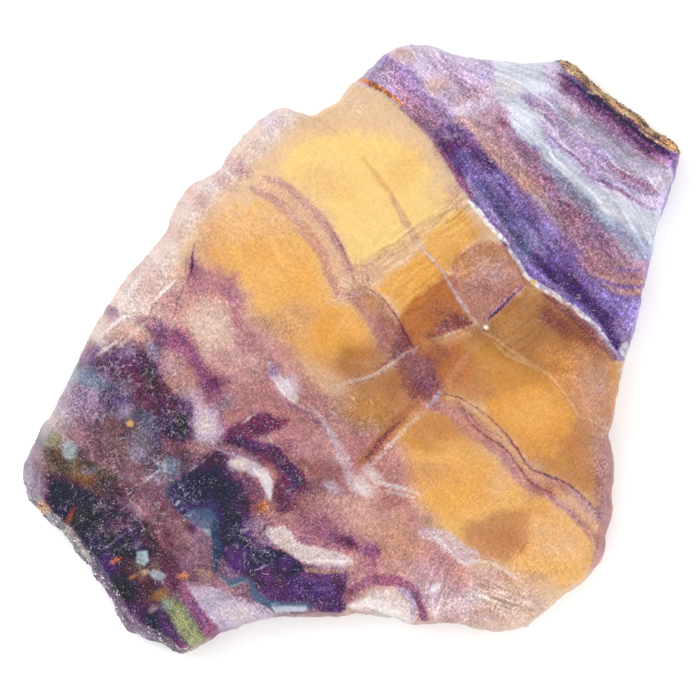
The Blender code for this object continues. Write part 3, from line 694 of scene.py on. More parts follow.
    # purple parts of the left edge
    p.clouds(("heather", -335, 51, 11, 7, -40, 0.9, 0.6), ("gloam", -329, 54, 7, 4, -40, 0.5),
        ("salmon", -318, 24, 28, 17, -20, 0.6), ("shell", -351, 18, 22, 8, -50, 0.8))
    p.patch("plum", 0.65, 7, [(-296, 40), (-268, 43), (-249, 37), (-224, 15), (-207, -12), (-196, -40),
        (-210, -49), (-226, -24), (-243, -4), (-268, 4), (-282, 21)])
    p.clouds(("magenta", -243, 12, 17, 11, 20, 0.8), ("grape", -265, 24, 10, 11, 0, 0.7))
    p.band("magenta", 0.7, [2.1, 5.6, 5.6, 4.2], 5.6, [(-232, 10), (-219, -10), (-206, -32),
        (-193, -49)], dashes=0.3)
    p.band("grape", 0.5, [1.4, 3.3, 2.8, 1.4], 3.5, [(-243, 26), (-226, 4), (-212, -21),
        (-201, -43)], dashes=0.4)
    p.band("plum", 0.75, [4.2, 8.3, 8.3, 5.6, 4.2], 6.9, [(-210, -40), (-193, -57), (-187, -76),
        (-185, -96), (-179, -115)])
    p.clouds(("grape", -187, -46, 19, 7, 10, 0.7), ("steel", -276, -1, 7, 8, 10, 0.6))
    p.patch("salmon", 0.75, 8, [(-262, -1), (-240, -10), (-224, -32), (-215, -57), (-232, -65), (-249, -57),
        (-262, -32)])
    p.clouds(("heather", -249, -29, 14, 14, 0, 0.4), ("lavender", -221, -68, 17, 11, 20, 0.45))
    p.patch("lilac", 0.8, 8, [(-218, -85), (-199, -74), (-185, -93), (-179, -115), (-187, -135),
        (-210, -129), (-221, -110)])
    p.clouds(("shell", -201, -107, 11, 12, 0, 0.8), ("salmon", -207, -137, 14, 8, 0, 0.5),
        ("smoke", -171, -76, 17, 8, 20, 0.6))
    # growth arcs
    p.patch("salmon", 0.35, 6, [(-124, 237), (-92, 229), (-54, 199), (-21, 157), (-1, 112), (-15, 82),
        (-32, 112), (-49, 146), (-82, 187), (-124, 212)])
    p.band("mauve", 0.5, [1.4, 3.1, 4.2, 4.2, 3.6, 3.6], 4.2, [(-118, 237), (-94, 229), (-74, 214),
        (-56, 196), (-37, 176), (-24, 156), (-12, 132), (-1, 110)])
    p.band("mauve", 0.5, [2.1, 4.2, 4.7, 4.7, 3.6, 3.6], 4.9, [(-137, 221), (-118, 214), (-99, 200),
        (-82, 183), (-65, 167), (-50, 147), (-39, 126), (-29, 104), (-18, 79)])
    p.band("grape", 0.65, [0.6, 1, 1.1, 0.8], 1.1, [(-35, 178), (-22, 157), (-10, 132), (0, 108), (8, 85)])
    p.cloud("sand", (-1, 82), (22, 11), 30, 0.6)
    p.patch("maroon", 0.6, 8, [(1, 85), (24, 82), (43, 69), (60, 49), (74, 29), (85, 4), (71, -12),
        (49, -7), (35, 15), (18, 46), (1, 68)])
    p.patch("maroon", 0.6, 7, [(37, 43), (60, 43), (74, 26), (85, 4), (71, -10), (49, -4), (37, 18)])
    p.clouds(("wine", 74, 12, 10, 14, -30, 0.45), ("amber", 24, 60, 12, 11, 35, 0.5))
    p.band("mauve", 0.35, [2.8, 4.2, 5.6, 5.6], 5.6, [(-10, 76), (10, 65), (26, 43), (40, 18), (49, -4)])
    p.band("wine", 0.7, [0.7, 1.1, 1.2, 1.7], 1.2, [(18, 87), (37, 75), (54, 58), (67, 40), (76, 22),
        (86, 4)])
    p.patch("maroon", 0.9, 10, [(62, -10), (87, 1), (115, -15), (126, -37), (132, -60), (112, -74),
        (87, -76), (71, -51)])
    p.patch("dusk", 0.35, 8, [(71, -12), (93, -4), (115, -24), (126, -54), (110, -68), (85, -43)])
    p.clouds(("maroon", 124, -7, 19, 14, 0, 0.5), ("wine", 101, -51, 17, 12, 30, 0.45))
    p.patch("wine", 0.5, 6, [(107, 18), (124, 35), (149, 49), (165, 37), (162, 29), (137, 24), (118, 15)])
    p.band("maroon", 0.4, [4.2, 6.9, 5.6], 6.9, [(101, -74), (132, -79), (160, -90), (187, -115)])
    p.band("salmon", 0.4, [4.2, 8.3, 9.7, 8.3, 5.6], 8.3, [(132, -82), (174, -110), (215, -140),
        (249, -176), (299, -204), (346, -246)])
    p.band("amber", 0.4, [2.8, 5.6, 6.9, 5.6], 6.9, [(179, -112), (215, -143), (249, -179), (290, -201)])
    p.band("mauve", 0.5, [1.4, 2.2, 2.8, 2.5, 3.3, 2.8, 4.2, 4.7, 6.1], 3.3, [(99, -79), (121, -85),
        (140, -93), (154, -112), (174, -126), (196, -137), (214, -150), (225, -168), (235, -185),
        (257, -196), (279, -207), (299, -222), (318, -240), (335, -260), (349, -276)])
    p.band("violet", 0.3, [0.6, 1.1, 1, 1.4, 1.9], 1.7, [(212, -153), (226, -171), (240, -187), (269, -200),
        (293, -218), (324, -246)])
    p.band("wine", 0.75, [0.6, 1, 0.7, 0.8, 0.7], 1, [(147, -71), (157, -82), (168, -94), (182, -108),
        (199, -119), (215, -128), (228, -137), (239, -151)], dashes=0.25)
    p.band("mauve", 0.4, [0.7, 2.1, 2.8, 4.2, 5.6], 4.2, [(249, -168), (276, -182), (304, -199),
        (329, -218), (349, -240)])
    p.band("wine", 0.95, [0.7, 1, 0.7, 0.8, 1, 1.1, 0.8, 1.2, 1.2, 0.8, 0.8, 0.6], 1, [(128, -62),
        (147, -67), (162, -74), (182, -87), (199, -101), (212, -117), (225, -132), (235, -144), (243, -158),
        (251, -168), (264, -174), (278, -179), (293, -185), (308, -194), (326, -210), (343, -225),
        (354, -237)])
    p.band("heather", 0.45, [0.6, 1.4, 1.9, 2.2], 1.9, [(299, -192), (318, -206), (335, -221), (351, -237)])
    p.cloud("brick", (271, -196), (22, 12), 15, 0.55)
    # the broken strip at the right edge
    p.band("brick", 0.6, [4.2, 9.7, 11.1, 11.1, 6.9], 6.9, [(362, -121), (354, -157), (354, -204),
        (357, -246), (349, -287)])
    p.band("mauve", 0.5, [1.4, 5.6, 6.9, 5.6], 5.6, [(360, -168), (357, -210), (354, -251), (340, -301)])
    p.clouds(("peach", -174, 171, 33, 28, 0, 0.25), ("peach", -101, 171, 31, 25, 0, 0.3),
        ("heather", 354, -137, 17, 69, 0, 0.3), ("mauve", 235, -265, 97, 36, 10, 0.13),
        ("peach", -140, 171, 61, 28, 0, 0.2), ("apricot", -40, 240, 33, 28, 0, 0.25),
        ("umber", 35, -37, 28, 25, 0, 0.25), ("mauve", 171, -37, 28, 25, 0, 0.2),
        ("lilac", 101, -312, 28, 19, 0, 0.3), ("clay", 235, -168, 76, 33, 20, 0.12))
    # thin growth lines
    p.band("amber", 0.45, [1.1, 1.9, 2.2], 2.8, [(18, 265), (35, 240), (51, 218), (62, 201)])
    p.band("sand", 0.6, [1.1, 2.8, 4.2, 2.8], 3.5, [(54, 215), (65, 199), (76, 176), (90, 154)])
    p.band("lavender", 0.75, [0.6, 1.7, 2.1, 1.2, 1.8, 1.2, 1.4, 0.8, 0.6], 1.7, [(87, 154), (97, 143),
        (112, 128), (125, 112), (136, 94), (147, 75), (158, 57), (168, 40), (182, 22)], dashes=0.35)
    p.band("milk", 0.45, [0.4, 1.1, 0.7, 1.1, 0.4], 1.1, [(90, 149), (107, 133), (124, 115), (140, 89),
        (154, 65)], dashes=0.5)
    p.clouds(("white", 187, 28, 4, 3, -30, 0.9, 0.4), ("white", 187, 28, 3, 2, -30, 0.9, 0.4),
        ("bark", 183, 24, 2, 1, 0, 0.7, 0.5))
    p.band("apricot", 0.6, [0.8, 1.1, 1, 0.8], 1.1, [(185, 21), (207, 10), (232, -7), (257, -24)])
    p.band("cream", 0.6, [0.6, 1, 1, 0.8, 1, 0.7], 1.1, [(257, -24), (274, -37), (290, -54), (304, -72),
        (317, -92)])
    p.band("cream", 0.5, [0.7, 1, 0.7], 1.1, [(317, -92), (335, -100), (362, -117)])
    p.band("apricot", 0.4, [0.6, 1.4, 1.7, 0.7], 1.9, [(196, 11), (218, -7), (240, -18), (262, -32)])
    p.band("peach", 0.4, [0.7, 1.1, 0.7], 1.4, [(321, -85), (340, -57), (357, -29)])
    p.band("sand", 0.3, [0.7, 4.2, 2.8, 0.7], 4.2, [(124, -62), (146, -32), (168, -4), (187, 15)])
    # streaks along the sides of the amber blocks
    p.hatch((68, 140), (64, 33), 36, 0.16, 0.45)
    p.hatch((146, 187), (44, 33), 36, 0.24, 0.45)
    p.hatch((96, 89), (58, 42), 38, 0.16, 0.5)
    p.hatch((235, 33), (56, 47), 38, 0.12, 0.6)
    p.hatch((165, 121), (36, 36), 36, 0.14, 0.5)
    p.hatch((-71, 131), (69, 56), -60, 0.06, 0.7)
    # cracks and healed breaks
    p.band("heather", 0.6, [0.7, 2.8, 2.1, 0.7], 2.8, [(240, 87), (218, 68), (199, 51), (182, 32)])
    p.band("ink", 0.9, [0.4, 0.8, 1.1, 1.7, 0.7], 0.8, [(246, 90), (226, 74), (211, 60), (199, 49),
        (189, 37)])
    p.band("shell", 0.75, [0.4, 1.4, 0.7], 1.4, [(110, 15), (129, 19), (149, 26), (169, 33)], dashes=0.7)
    p.band("dust", 0.5, [2.8, 5.6, 2.8], 5.6, [(110, 21), (137, 32), (165, 43)])
    p.band("shell", 0.65, [0.6, 1.1, 1.7, 1.4, 1, 0.6], 1.7, [(93, 4), (74, -6), (57, -18), (39, -31),
        (21, -39), (-1, -46), (-21, -57)], dashes=0.45)
    p.band("dust", 0.5, [1.4, 4.2, 5.6, 4.2], 5.6, [(99, 6), (68, -11), (37, -31), (-10, -51)])
    p.band("wine", 0.4, [0.7, 2.1, 0.7], 2.1, [(74, -1), (54, -14), (37, -25)])
    p.band("umber", 0.7, [1.4, 5.6, 6.9, 5.6, 1.4], 5.6, [(85, -76), (68, -99), (51, -121), (32, -140),
        (12, -160)])
    p.band("wine", 0.55, [0.7, 2.2, 2.8, 1.4], 2.8, [(74, -96), (57, -112), (40, -132), (21, -151)])
    p.band("shell", 0.5, [0.7, 1.7, 2.1, 1.7, 0.8], 2.5, [(107, -85), (86, -101), (71, -118), (54, -135),
        (35, -154), (15, -168)], dashes=0.35)
    p.band("dust", 0.5, [2.8, 5.6, 5.6, 2.8], 5.6, [(124, -60), (96, -87), (62, -121), (24, -162)])
    p.band("lavender", 0.8, [0.6, 2.2, 1.4], 2.2, [(124, -58), (115, -71), (106, -79)])
    p.band("umber", 0.7, [0.6, 1.1, 0.6], 1.1, [(246, -262), (237, -280), (225, -294)], dashes=0.3)
    p.clouds(("dust", 187, 107, 36, 25, -30, 0.8), ("dust", 154, 115, 11, 22, -35, 0.6),
        ("dust", -1, 82, 36, 17, 20, 0.6), ("dust", -154, 249, 33, 14, -40, 0.6),
        ("dust", -106, 232, 19, 8, 20, 0.5), ("dust", 262, -293, 69, 25, 10, 0.35),
        ("dust", 346, -182, 11, 83, 0, 0.5))
    # the banded corner: its ground, from the ridge up to the crust
    p.patch("violet", 1, 3, [(15, 376), (40, 360), (68, 340), (93, 318), (115, 290), (137, 251), (168, 203),
        (207, 154), (249, 94), (293, 67), (343, 25), (376, -17), (401, 26), (429, 151), (471, 276),
        (401, 360), (304, 415), (96, 443), (40, 415)])
    p.patch("lilac", 1, 8, [(47, 422), (110, 435), (179, 415), (221, 412), (224, 339), (196, 329),
        (165, 315), (140, 324), (112, 349), (89, 382), (65, 399)])
    p.clouds(("sand", 71, 410, 17, 10, -20, 0.6), ("sand", 121, 368, 22, 12, 10, 0.55),
        ("heather", 124, 393, 19, 11, 0, 0.4), ("heather", 154, 371, 17, 19, -30, 0.55),
        ("clay", 165, 351, 25, 12, 15, 0.6), ("iris", 187, 382, 11, 17, -30, 0.35),
        ("lavender", 46, 393, 17, 12, -30, 0.6))
    p.patch("heather", 0.7, 7, [(40, 399), (62, 393), (85, 376), (110, 351), (135, 329), (149, 312),
        (121, 296), (96, 315), (68, 340), (46, 360), (29, 374)])
    p.band("dusk", 0.45, [4.2, 9.7, 9.7, 5.6], 8.3, [(51, 382), (76, 360), (101, 335), (124, 315)])
    p.band("clay", 0.5, [2.8, 5.6, 6.9, 6.9], 6.9, [(65, 357), (85, 337), (107, 315), (124, 299)])
    # tan and mauve middle bands
    p.patch("clay", 0.95, 8, [(140, 318), (165, 329), (207, 337), (221, 312), (235, 290), (262, 274),
        (290, 246), (321, 207), (349, 187), (362, 162), (408, 121), (401, 68), (362, 79), (326, 110),
        (290, 146), (257, 190), (226, 229), (196, 262), (171, 287)])
    p.band("sand", 0.45, [4.2, 6.9, 8.3, 6.9, 4.2], 6.9, [(154, 318), (179, 296), (201, 274), (235, 232),
        (262, 199)])
    p.band("mauve", 0.6, [5.6, 8.3, 8.3, 6.9], 8.3, [(201, 329), (215, 296), (240, 262), (262, 237)])
    p.band("sand", 0.4, [2.8, 5.6, 5.6, 2.8], 5.6, [(232, 262), (249, 235), (274, 207), (299, 176)])
    p.band("smoke", 0.5, [2.8, 6.9, 6.9, 4.2], 6.9, [(251, 212), (276, 187), (299, 162), (315, 137)])
    p.band("dusk", 0.6, [4.2, 8.3, 11.1, 8.3, 4.2], 9.7, [(235, 274), (269, 237), (301, 204), (332, 160),
        (362, 135)])
    p.band("grape", 0.45, [2.8, 4.2, 5.6, 4.2, 2.8], 5.6, [(262, 265), (290, 232), (324, 196), (346, 176),
        (362, 143)])
    p.band("grape", 0.5, [2.1, 3.5, 4.2, 2.8], 4.2, [(204, 329), (221, 301), (237, 282), (265, 260),
        (290, 229)])
    p.patch("dusk", 0.5, 7, [(274, 235), (299, 221), (332, 187), (351, 162), (346, 143), (321, 143),
        (299, 162), (279, 196)])
    p.patch("damson", 0.5, 7, [(290, 224), (324, 199), (351, 171), (362, 151), (346, 146), (318, 174),
        (293, 201)])
    # purple bands next to the ridge
    p.patch("indigo", 0.95, 6, [(118, 299), (140, 310), (162, 307), (182, 279), (201, 251), (190, 226),
        (171, 218), (154, 240), (135, 265)])
    p.clouds(("wine", 140, 282, 19, 14, 30, 0.6), ("heather", 132, 299, 12, 7, -30, 0.55, 0.6),
        ("plum", 165, 287, 11, 11, 0, 0.45))
    p.band("plum", 0.8, [1.4, 2.2, 2.8, 1.7], 2.2, [(124, 276), (140, 254), (154, 232), (171, 207)])
    p.band("lavender", 0.5, [0.7, 2.8, 3.5, 2.8, 1.4], 3.5, [(154, 246), (168, 224), (187, 199), (207, 174),
        (235, 140)])
    p.band("indigo", 0.8, [8.3, 9.7, 9.7, 8.3, 6.9], 6.9, [(165, 262), (193, 224), (215, 193), (232, 162),
        (257, 126)])
    p.band("navy", 0.55, [2.8, 5.6, 5.6, 4.2], 5.6, [(185, 226), (210, 190), (235, 151), (254, 121)])
    p.band("iris", 0.35, [4.2, 12.5, 13.9, 13.9, 8.3], 11.1, [(154, 274), (182, 237), (210, 199),
        (237, 160), (268, 129)])
    p.band("iris", 0.55, [1.4, 5.6, 6.9, 6.9, 4.2], 5.6, [(193, 240), (224, 207), (249, 182), (274, 151),
        (299, 126)])
    p.band("violet", 0.7, [4.2, 6.9, 8.3, 8.3], 6.9, [(212, 237), (246, 201), (279, 162), (318, 121)])
    p.band("indigo", 0.55, [1.4, 4.2, 4.2, 2.8], 4.9, [(204, 229), (229, 199), (254, 162), (279, 129)])
    p.band("ink", 0.75, [2.8, 8.3, 9.7, 9.7, 6.9, 4.2], 8.3, [(254, 129), (276, 110), (304, 87), (332, 62),
        (354, 37), (371, 7)])
    p.band("indigo", 0.7, [5.6, 12.5, 12.5, 11.1, 6.9], 8.3, [(274, 121), (307, 96), (337, 68), (362, 40),
        (376, 12)])
    p.band("iris", 0.6, [1.4, 2.8, 4.2, 2.8], 3.5, [(262, 101), (293, 79), (326, 51), (351, 21)])
    p.band("violet", 0.7, [2.8, 8.3, 13.9], 8.3, [(299, 129), (340, 93), (396, 60)])
    p.band("iris", 0.6, [2.8, 6.9, 11.1], 6.9, [(332, 85), (362, 62), (399, 54)])
    p.band("clay", 0.6, [2.8, 6.9, 9.7], 6.9, [(318, 124), (354, 99), (404, 85)])
    p.band("sand", 0.5, [1.4, 2.1, 2.8], 2.8, [(343, 104), (371, 96), (404, 93)])
    p.band("sand", 0.5, [0.7, 2.1, 2.8], 2.8, [(346, 87), (374, 78), (401, 78)])
    p.band("violet", 0.75, [0.8, 1.4, 1.4], 1.7, [(354, 115), (379, 110), (404, 111)])
    p.band("violet", 0.75, [0.8, 1.7, 1.4], 1.7, [(346, 96), (374, 87), (404, 86)])
    p.clouds(("iris", 271, 162, 12, 15, -35, 0.5), ("violet", 376, 32, 17, 17, 0, 0.6),
        ("steel", 240, 137, 14, 19, -35, 0.35), ("iris", 251, 121, 17, 11, -40, 0.35),
        ("violet", 285, 124, 17, 11, -40, 0.4), ("indigo", 318, 60, 19, 10, -40, 0.4),
        ("lavender", 387, 26, 14, 19, 0, 0.6), ("lavender", 387, 126, 17, 10, 0, 0.4),
        ("damson", 318, 165, 25, 14, -40, 0.5), ("grape", 299, 140, 15, 11, -40, 0.4),
        ("indigo", 382, 35, 11, 14, 0, 0.45), ("smoke", 235, 276, 31, 17, -45, 0.25),
        ("heather", 346, 157, 28, 17, -40, 0.3), ("smoke", 187, 307, 22, 14, -30, 0.25))
    # pale bands with their veins
    p.patch("lavender", 1, 6, [(207, 362), (290, 374), (346, 318), (415, 262), (446, 240), (429, 182),
        (401, 168), (346, 214), (290, 269), (240, 321)])
    p.patch("ice", 1, 6, [(204, 404), (285, 401), (290, 368), (268, 351), (249, 357), (226, 349),
        (207, 357)])
    p.cloud("shell", (215, 368), (19, 14), 0, 0.5)
    p.patch("frost", 1, 5, [(207, 357), (226, 349), (249, 337), (262, 329), (262, 310), (271, 287),
        (293, 274), (318, 249), (335, 232), (362, 221), (387, 207), (432, 190), (435, 151), (415, 129),
        (385, 157), (354, 176), (332, 199), (307, 226), (285, 246), (262, 274), (237, 293), (218, 321)])
    p.band("steel", 0.6, [1.4, 4.2, 6.9, 6.9, 9.7, 12.5], 6.9, [(262, 262), (285, 240), (312, 210),
        (343, 187), (376, 157), (410, 135)])
    p.cloud("smoke", (390, 143), (22, 12), -25, 0.55)
    p.band("milk", 0.5, [0.7, 2.8, 4.2, 2.8], 2.8, [(340, 207), (357, 196), (376, 187),
        (401, 179)], dashes=0.6)
    p.clouds(("milk", 357, 194, 10, 7, -30, 0.6, 0.6), ("ice", 240, 315, 17, 14, 30, 0.5))
    p.band("lilac", 0.7, [2.8, 5.6, 6.9, 5.6], 5.6, [(271, 307), (299, 285), (332, 257), (354, 235)])
    p.band("heather", 0.6, [2.8, 5.6, 4.2], 5.6, [(240, 349), (260, 335), (276, 321)])
    p.band("heather", 0.55, [2.8, 8.3, 9.7, 6.9], 6.9, [(274, 326), (299, 301), (332, 276), (354, 254)])
    p.cloud("iris", (340, 246), (19, 11), -40, 0.35)
    p.patch("smoke", 1, 7, [(279, 387), (296, 368), (318, 340), (351, 312), (387, 290), (435, 260),
        (449, 240), (440, 212), (418, 226), (382, 246), (349, 279), (324, 299), (299, 315), (282, 346)])
    p.band("lilac", 0.75, [5.6, 8.3, 6.9, 4.2], 6.9, [(274, 393), (285, 365), (299, 343), (312, 329)])
    p.clouds(("clay", 304, 326, 8, 6, -30, 0.6), ("lilac", 408, 246, 25, 10, -20, 0.8))
    p.band("dusk", 0.5, [1.4, 5.6, 8.3, 4.2], 4.9, [(354, 262), (371, 246), (396, 229), (421, 218)])
    p.band("grape", 0.35, [1.4, 3.5, 1.4], 2.8, [(362, 251), (387, 235), (412, 226)])
    p.band("lilac", 0.75, [2.8, 4.2, 4.2], 4.2, [(354, 224), (387, 211), (429, 204)])
    p.band("heather", 0.9, [0.7, 1.4, 1.7, 1.4, 1.7, 1.7, 1.1], 1.2, [(264, 315), (274, 296), (293, 280),
        (307, 271), (326, 254), (332, 242), (351, 231), (376, 219), (401, 203), (424, 194)])
    p.band("grape", 0.6, [0.6, 1, 0.6], 1, [(290, 282), (307, 271), (324, 257)])
    p.band("grape", 0.6, [0.6, 1, 0.6], 1, [(335, 237), (351, 231), (362, 226)])
    p.band("milk", 0.8, [0.4, 0.8, 1.2, 0.7, 1.4, 1.1, 0.6], 1.2, [(236, 368), (257, 353), (279, 337),
        (287, 324), (307, 308), (324, 296), (346, 286)])
    p.band("milk", 0.75, [0.6, 1.1, 0.8, 1.2, 0.7], 1.2, [(355, 271), (364, 258), (382, 244), (410, 239),
        (426, 219)])
    p.band("milk", 0.8, [0.6, 1.1, 0.8], 1.2, [(243, 340), (264, 328), (264, 315)])
    p.band("milk", 0.5, [0.7, 1.4, 0.7], 1.7, [(269, 282), (293, 254), (318, 232)], dashes=0.5)
    p.band("plum", 0.5, [0.7, 1.1, 0.7], 1.4, [(346, 226), (368, 221), (387, 212)])
    # dark bands under the crust
    p.patch("dusk", 0.85, 8, [(287, 385), (310, 368), (349, 337), (385, 312), (424, 282), (447, 265),
        (435, 254), (401, 271), (365, 293), (329, 324), (307, 346), (293, 362)])
    p.patch("grape", 0.7, 6, [(290, 382), (318, 365), (349, 340), (385, 315), (424, 285), (446, 268),
        (429, 265), (396, 287), (360, 312), (326, 340), (299, 360)])
    p.band("gloam", 0.6, [1.4, 4.2, 4.2, 5.6, 4.2], 4.2, [(299, 371), (329, 349), (362, 324), (401, 293),
        (432, 271)])
    p.band("ink", 0.85, [0.7, 1.9, 2.5, 1.7, 2.8, 2.2], 1.9, [(293, 382), (318, 364), (346, 342),
        (376, 319), (410, 294), (440, 271)])
    p.patch("crust", 0.95, 2, [(293, 401), (318, 396), (337, 376), (351, 357), (371, 351), (408, 321),
        (440, 304), (460, 279), (451, 271), (415, 293), (376, 324), (346, 346), (321, 368), (301, 385)])
    p.band("steel", 0.7, [0.6, 1.1, 0.7, 1.1, 0.8, 0.6], 1.1, [(285, 393), (307, 375), (332, 357),
        (357, 337), (387, 317), (412, 299)], dashes=0.5)
    p.band("bark", 0.75, [0.7, 2.1, 1.4, 3.3, 1.4], 2.2, [(301, 393), (326, 376), (354, 353), (379, 335),
        (415, 308)], dashes=0.6)
    p.band("bark", 0.6, [0.4, 1.1, 0.6, 1.4, 0.7], 1.2, [(310, 399), (332, 385), (349, 362), (374, 349),
        (410, 324), (435, 304)], dashes=0.4)
    p.band("rust", 0.6, [0.7, 1.9, 0.8, 2.2, 1.1], 1.9, [(312, 387), (335, 368), (360, 349), (390, 326),
        (424, 301)], dashes=0.5)
    p.band("ink", 0.7, [0.7, 1.7, 1.1, 1.9, 1.1], 1.7, [(307, 382), (335, 357), (365, 332), (399, 310),
        (435, 286)], dashes=0.4)
    p.band("bark", 0.6, [1.4, 2.8, 1.4, 3.3, 1.4], 2.8, [(312, 401), (343, 374), (379, 349), (412, 326),
        (446, 301)], dashes=0.6)
    p.clouds(("orange", 440, 285, 10, 6, -30, 0.7, 0.6), ("orange", 374, 337, 12, 4, -38, 0.5, 0.6))
    p.patch("glow", 0.16, 8, [(29, 387), (68, 429), (165, 415), (290, 387), (346, 332), (415, 276),
        (457, 262), (429, 137), (401, 40), (346, 82), (290, 137), (235, 207), (165, 290), (96, 332)])
    p.clouds(("glow", 437, 221, 19, 69, 0, 0.5), ("glow", 165, 311, 42, 19, -40, 0.35),
        ("lilac", 24, 385, 22, 17, 0, 0.6), ("lilac", 51, 371, 14, 11, 0, 0.4),
        ("glow", 82, 357, 31, 17, -30, 0.5), ("glow", 235, 318, 28, 17, -40, 0.2),
        ("glow", 415, 112, 17, 28, 0, 0.6), ("glow", 401, 40, 22, 22, 0, 0.5),
        ("glow", 235, 157, 47, 14, -45, 0.15))
    p.comb(0.16, 0.5, 5, [(40, 360), (115, 290), (168, 203), (207, 154), (249, 94), (293, 67), (343, 25),
        (376, -17)], [(179, 429), (290, 393), (346, 349), (408, 301), (457, 268), (485, 179)], [(40, 368),
        (115, 296), (171, 207), (212, 157), (254, 99), (299, 71), (349, 29), (376, -1), (401, 26),
        (429, 151), (454, 262), (401, 299), (346, 340), (290, 387), (262, 401), (96, 429)])
    p.clouds(("dust", 182, 349, 28, 12, 25, 0.8), ("dust", 140, 293, 17, 10, 30, 0.5),
        ("dust", 46, 379, 19, 11, 20, 0.4), ("dust", 207, 276, 42, 17, -50, 0.35),
        ("dust", 382, 235, 25, 12, -30, 0.5), ("dust", 290, 207, 56, 14, -45, 0.3))
    # boundary ridge and stain
    p.band("grape", 0.5, [1.4, 2.1, 2.8], 2.8, [(68, 337), (93, 315), (121, 282)])
    p.band("rust", 0.95, [2.2, 3.3, 2.2, 1.1], 1.9, [(15, 376), (35, 365), (57, 350), (71, 339)])
    p.band("bark", 0.6, [0.6, 1.2, 0.6], 1.1, [(26, 371), (46, 357), (62, 349)], dashes=0.4)
    p.band("wine", 0.5, [1.4, 2.8, 4.2, 6.9, 4.2], 4.9, [(269, 74), (293, 57), (318, 37), (343, 15),
        (368, -10)])
    p.band("umber", 0.5, [1.4, 2.8, 2.8], 2.8, [(212, 143), (226, 121), (249, 87)])
    p.band("white", 0.95, [1.4, 3.1, 1.9, 2.5, 1.1], 1.7, [(165, 204), (176, 194), (193, 172), (207, 156),
        (218, 147)], dashes=0.45)
    p.band("white", 0.85, [2.5, 3.3, 1.9, 2.8, 1.4, 1.1, 1], 1.7, [(253, 92), (274, 79), (296, 67),
        (318, 50), (335, 37), (354, 15), (376, -15)], dashes=0.5)
    p.band("milk", 0.95, [1.4, 2.8, 1.7, 3.1, 2.2], 1.7, [(219, 142), (226, 131), (235, 118), (244, 101),
        (254, 93)], dashes=0.4)
    p.clouds(("lilac", 228, 128, 4, 3, -60, 0.8, 0.6), ("pearl", 236, 114, 4, 3, -50, 0.8, 0.6),
        ("milk", 189, 176, 6, 3, -50, 0.7, 0.6), ("milk", 243, 101, 4, 3, -50, 0.8, 0.6))
    p.band("sand", 0.5, [0.7, 1.1, 0.8], 1.2, [(269, 82), (299, 64), (326, 44)])
    p.band("lavender", 0.6, [0.7, 1.4, 1.4, 0.8], 1.4, [(329, 37), (346, 21), (362, 1), (375, -15)])
    p.band("ink", 0.6, [0.4, 1.2, 0.4], 1.1, [(207, 153), (215, 143), (219, 136)])
    p.clouds(("honey", 253, 93, 4, 3, 0, 0.95, 0.5), ("white", 382, -1, 7, 14, 15, 0.8, 0.5))
    # corrections of the dark side
    p.clouds(("wine", -135, -210, 31, 25, 0, 0.4), ("damson", -251, -85, 19, 17, 0, 0.35),
        ("damson", -171, -71, 17, 14, 0, 0.3), ("ink", -335, -201, 19, 25, 0, 0.35),
        ("smoke", -201, -354, 42, 28, 10, 0.3), ("heather", -315, 1, 17, 11, 0, 0.5),
        ("rose", -310, -174, 11, 22, 0, 0.3), ("bark", -401, -140, 11, 11, 0, 0.35),
        ("smoke", 415, 251, 12, 11, 0, 0.5), ("honey", 115, 140, 17, 12, -30, 0.45),
        ("ochre", 221, 29, 15, 14, 0, 0.4), ("orange", 299, -24, 36, 22, 40, 0.35),
        ("salmon", 332, -32, 19, 28, 30, 0.4), ("orange", 274, -1, 19, 14, 30, 0.3))
    p.band("gloam", 0.5, [6.9, 11.1, 12.5, 12.5, 9.7], 8.3, [(-365, -296), (-351, -326), (-332, -357),
        (-296, -390), (-251, -415)])
    p.band("smoke", 0.6, [5.6, 6.9, 6.9], 6.9, [(-451, -143), (-454, -176), (-443, -207)])
    p.clouds(("umber", 107, -115, 36, 28, -20, 0.25), ("toffee", 176, -126, 33, 28, 0, 0.3),
        ("maroon", 46, -168, 28, 19, 0, 0.25), ("brick", 101, -174, 31, 19, 0, 0.25),
        ("clay", 171, -371, 33, 14, 0, 0.3), ("mauve", -29, -232, 31, 22, 0, 0.3),
        ("damson", -312, -243, 19, 22, 0, 0.25), ("clay", -243, -312, 28, 17, 0, 0.3),
        ("plum", -254, -137, 14, 11, 0, 0.3), ("brick", -149, -76, 17, 10, -30, 0.5),
        ("brick", -71, -210, 14, 11, 30, 0.4), ("heather", -212, -276, 18, 31, 0, 0.35),
        ("ink", -221, -249, 6, 6, 0, 0.6), ("heather", 129, 340, 12, 10, 0, 0.5),
        ("pearl", 165, 328, 24, 8, -25, 0.6), ("lavender", 142, 314, 11, 8, -35, 0.5),
        ("lilac", 199, 333, 17, 11, -30, 0.55))
    p.band("navy", 0.4, [1.4, 4.2, 4.2, 1.4], 4.2, [(201, 196), (221, 165), (243, 135)])
    p.band("steel", 0.3, [1.4, 4.2, 2.8], 4.2, [(226, 193), (249, 160), (271, 132)])
    p.clouds(("wine", -243, -310, 19, 19, 0, 0.25), ("ink", -332, -249, 31, 25, 20, 0.3),
        ("plum", -40, -237, 31, 19, 0, 0.25), ("plum", -124, -107, 31, 22, 0, 0.2),
        ("clay", 310, 171, 25, 25, 0, 0.2), ("rose", -318, -37, 25, 22, 0, 0.2),
        ("shell", 15, -182, 18, 8, -10, 0.6))
    p.band("mauve", 0.4, [4.2, 6.9, 8.3, 8.3, 6.9, 5.6], 4.2, [(118, -76), (149, -90), (171, -110),
        (199, -135), (224, -165), (257, -187)])
    p.band("wine", 0.6, [0.7, 1.2, 1.1, 1.2, 0.8], 1.4, [(154, -82), (168, -104), (190, -124), (215, -140),
        (232, -162), (251, -187), (285, -204)])
